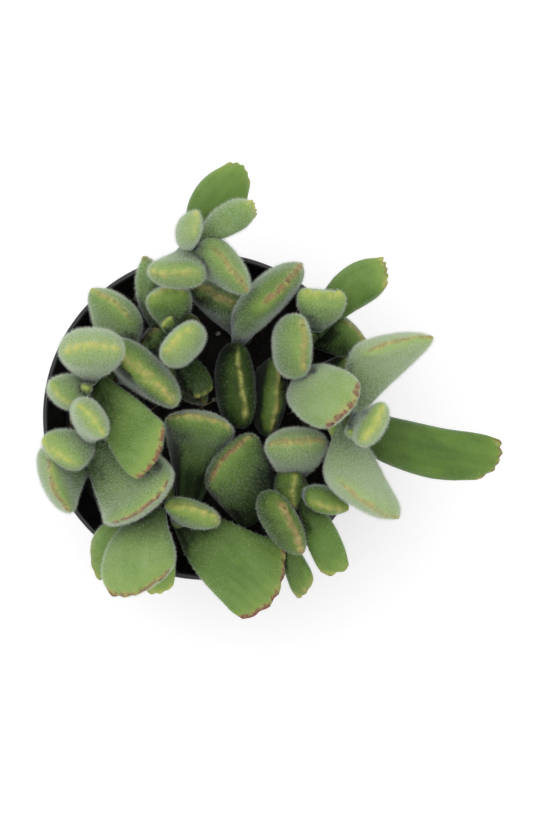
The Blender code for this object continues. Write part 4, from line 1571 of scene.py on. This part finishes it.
def make_pot(material):
    """The pot: thin tapered wall, stepped collar, rolled lip and a floor with drain holes."""
    rim = RIM_RADIUS
    shoulder = POT_HEIGHT - COLLAR_HEIGHT
    collar = outer_wall(shoulder) + COLLAR_STEP
    profile = [(3.0, FLOOR_THICKNESS), (12.0, FLOOR_THICKNESS)]
    profile += arc(inner_wall(FLOOR_THICKNESS) - 1.2, FLOOR_THICKNESS + 1.2, 1.2, -90, -4, 5)
    profile += [(inner_wall(h), h) for h in (12.0, 26.0, 40.0, 54.0, shoulder - 0.8)]
    profile += [(inner_wall(shoulder) + 0.05, shoulder), (inner_wall(shoulder) + 0.75, shoulder + 1.5)]
    profile += [(rim - 2 * LIP_RADIUS - 0.35, POT_HEIGHT - 5.0)]
    profile += arc(rim - LIP_RADIUS, POT_HEIGHT - LIP_RADIUS, LIP_RADIUS, 180, -40, 14)
    profile += [(rim - 0.55, POT_HEIGHT - 2.1), (rim - 0.42, POT_HEIGHT - 3.2)]
    profile += [(collar + 0.12, shoulder + 1.2), (collar, shoulder + 0.35), (collar - 0.3, shoulder)]
    profile += [(outer_wall(shoulder) + 0.15, shoulder - 0.05), (outer_wall(shoulder) - 0.05, shoulder - 0.4)]
    profile += [(outer_wall(h), h) for h in (60.0, 50.0, 40.0, 30.0, 20.0, 10.0)]
    foot = outer_wall(0.0)
    profile += arc(foot - 0.8, 0.8, 0.8, -6, -90, 5)
    profile += [(12.0, 0.0), (3.0, 0.0)]
    pot = turn_from(profile, POT_SIDES, "pot")
    fill_ends(pot)
    for index in range(DRAIN_HOLES):
        turn = 2 * math.pi * index / DRAIN_HOLES + math.radians(DRAIN_TURN)
        deselect_all()
        bpy.ops.mesh.primitive_cylinder_add(
            vertices=32,
            radius=DRAIN_RADIUS * MM,
            depth=FLOOR_THICKNESS * 3 * MM,
            location=(DRAIN_CIRCLE * math.cos(turn) * MM, DRAIN_CIRCLE * math.sin(turn) * MM, 0.0),
        )
        cutter = bpy.context.object
        drill = pot.modifiers.new("drain", "BOOLEAN")
        drill.operation = "DIFFERENCE"
        drill.object = cutter
        take(pot)
        bpy.ops.object.modifier_apply(modifier="drain")
        remove(cutter)
    take(pot)
    bpy.ops.object.shade_smooth_by_angle(angle=math.radians(40))
    settle(pot, "nursery_pot")
    pot.data.materials.clear()
    pot.data.materials.append(material)
    return pot


def fill_ends(pot):
    """Closes the small round openings left in the middle of the floor, above and below."""
    take(pot)
    bpy.ops.object.mode_set(mode="EDIT")
    bpy.ops.mesh.select_mode(type="EDGE")
    bpy.ops.mesh.select_all(action="DESELECT")
    bpy.ops.mesh.select_non_manifold()
    bpy.ops.mesh.fill_holes(sides=0)
    bpy.ops.mesh.select_all(action="SELECT")
    bpy.ops.mesh.normals_make_consistent(inside=False)
    bpy.ops.object.mode_set(mode="OBJECT")


# The stage


def make_floor(material):
    deselect_all()
    bpy.ops.mesh.primitive_circle_add(vertices=96, radius=FLOOR_RADIUS, fill_type="NGON")
    floor = bpy.context.object
    bpy.ops.object.mode_set(mode="EDIT")
    bpy.ops.mesh.select_all(action="SELECT")
    bpy.ops.mesh.extrude_region_move(TRANSFORM_OT_translate={"value": (0, 0, -0.01)})
    bpy.ops.mesh.select_all(action="SELECT")
    bpy.ops.mesh.normals_make_consistent(inside=False)
    bpy.ops.object.mode_set(mode="OBJECT")
    settle(floor, "floor")
    floor.data.materials.append(material)
    return floor


def light_scene():
    light = bpy.data.lights.new("softbox", "AREA")
    light.shape = "SQUARE"
    light.size = SOFTBOX_SIDE
    light.energy = SOFTBOX_POWER
    softbox = bpy.data.objects.new("softbox", light)
    softbox.location = SOFTBOX_PLACE
    towards = Vector((0, 0, 0.08)) - Vector(SOFTBOX_PLACE)
    softbox.rotation_euler = towards.to_track_quat("-Z", "Y").to_euler()
    bpy.context.scene.collection.objects.link(softbox)
    world = bpy.data.worlds.new("pale_room")
    world.use_nodes = True
    tree = world.node_tree
    background = tree.nodes["Background"]
    background.inputs["Color"].default_value = (1.0, 1.0, 1.0, 1.0)
    background.inputs["Strength"].default_value = SKY_STRENGTH
    bpy.context.scene.world = world
    bpy.context.scene.view_settings.view_transform = "Standard"


def set_camera():
    camera = bpy.data.cameras.new("camera")
    camera.lens = CAMERA_LENS
    camera.sensor_width = CAMERA_SENSOR
    camera.clip_start = 0.01
    camera.clip_end = 20.0
    holder = bpy.data.objects.new("camera", camera)
    holder.location = (CAMERA_X * MM, CAMERA_Y * MM, (POT_HEIGHT + CAMERA_ABOVE_RIM) * MM)
    bpy.context.scene.collection.objects.link(holder)
    bpy.context.scene.camera = holder


def keep(piece, slot, *nodes):
    """Says what a piece rides on and which solids it stands for. Its slot, what it is made of, is not used.
    """
    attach(piece, "root")
    if nodes:
        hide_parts(*nodes)


set_camera()
light_scene()
make_floor(make_floor_material())

pot = make_pot(make_pot_material())
keep(pot, "pot_plastic", "pot")

peat = make_crumbly_material("peat", PEAT_DARK, PEAT_BROWN, PEAT_FLECK, 420.0)
soil = make_soil(peat)
keep(soil, "potting_mix", "soil")

grain = new_grain(1)
bark = make_crumbly_material("bark", BARK_DARK, BARK_RED, PEAT_FLECK, 700.0)
perlite = make_crumbly_material("perlite", PERLITE_SOILED, PERLITE_WHITE, PERLITE_SOILED, 900.0)
straw = make_crumbly_material("straw", STRAW_BROWN, STRAW_PALE, STRAW_BROWN, 500.0)
grit_sizes = ((0.35, 0.9), (0.3, 0.8), (0.25, 0.6))
chip_sizes = ((0.9, 2.1), (0.5, 1.2), (0.2, 0.5))
perlite_sizes = ((0.5, 1.3), (0.5, 1.1), (0.4, 0.9))
keep(scatter("peat_grit", grain, GRIT_GRAINS, grit_sizes, 0.22, 0.35, MIX_SEED, peat), "potting_mix")
keep(scatter("bark_chips", grain, BARK_CHIPS, chip_sizes, 0.2, 0.2, MIX_SEED + 1, bark), "potting_mix")
keep(
    scatter(
        "perlite_grains", grain, PERLITE_GRAINS, perlite_sizes, 0.16, 0.3, MIX_SEED + 2, perlite,
        near=SEEN_PERLITE,
    ),
    "potting_mix",
)
remove(grain)
straw_sleeve = new_sleeve(6, range(STRAW_RINGS + 1))
keep(make_straw("straws", straw_sleeve, STRAW_PIECES, MIX_SEED + 3, straw, SEEN_STRAW), "potting_mix")
remove(straw_sleeve)

felted_leaf = make_leaf_material("felted_leaf", FELT_SHEEN, FELT_GLOSS)
smooth_leaf = make_leaf_material("smooth_leaf", SMOOTH_SHEEN, SMOOTH_GLOSS)
hair_material = make_hair_material()
stem_material = make_stem_material()
leaf_sleeve = make_leaf_sleeve()
stem_sleeve = new_sleeve(STEM_SIDES, range(STEM_RINGS + 1))
hair = new_hair()
next_seed = LEAF_SEED
leaf_pieces = []
for stem_name, stem_spec in STEMS.items():
    stem_line = smooth_route([at_rim(point) for point in stem_spec["route"]], 3)
    leaves = make_leaves(
        stem_name, stem_spec, stem_line, leaf_sleeve, next_seed, felted_leaf, smooth_leaf
    )
    next_seed += len(stem_spec["leaves"])
    keep(leaves, "leaf_flesh", stem_name + "_leafy_stem")
    stem = make_stem(stem_name, stem_spec, stem_line, stem_sleeve, stem_material)
    keep(stem, "leaf_flesh", stem_name + "_leafy_stem")
    leaf_pieces.append(leaves)
store_openness(leaf_pieces, [*leaf_pieces, pot, soil])
for number, (stem_name, leaves) in enumerate(zip(STEMS, leaf_pieces)):
    hairs = make_hairs(stem_name, leaves, hair, FELT_SEED + number, hair_material)
    keep(hairs, "leaf_flesh", stem_name + "_leafy_stem")
remove(leaf_sleeve)
remove(stem_sleeve)
remove(hair)
deselect_all()
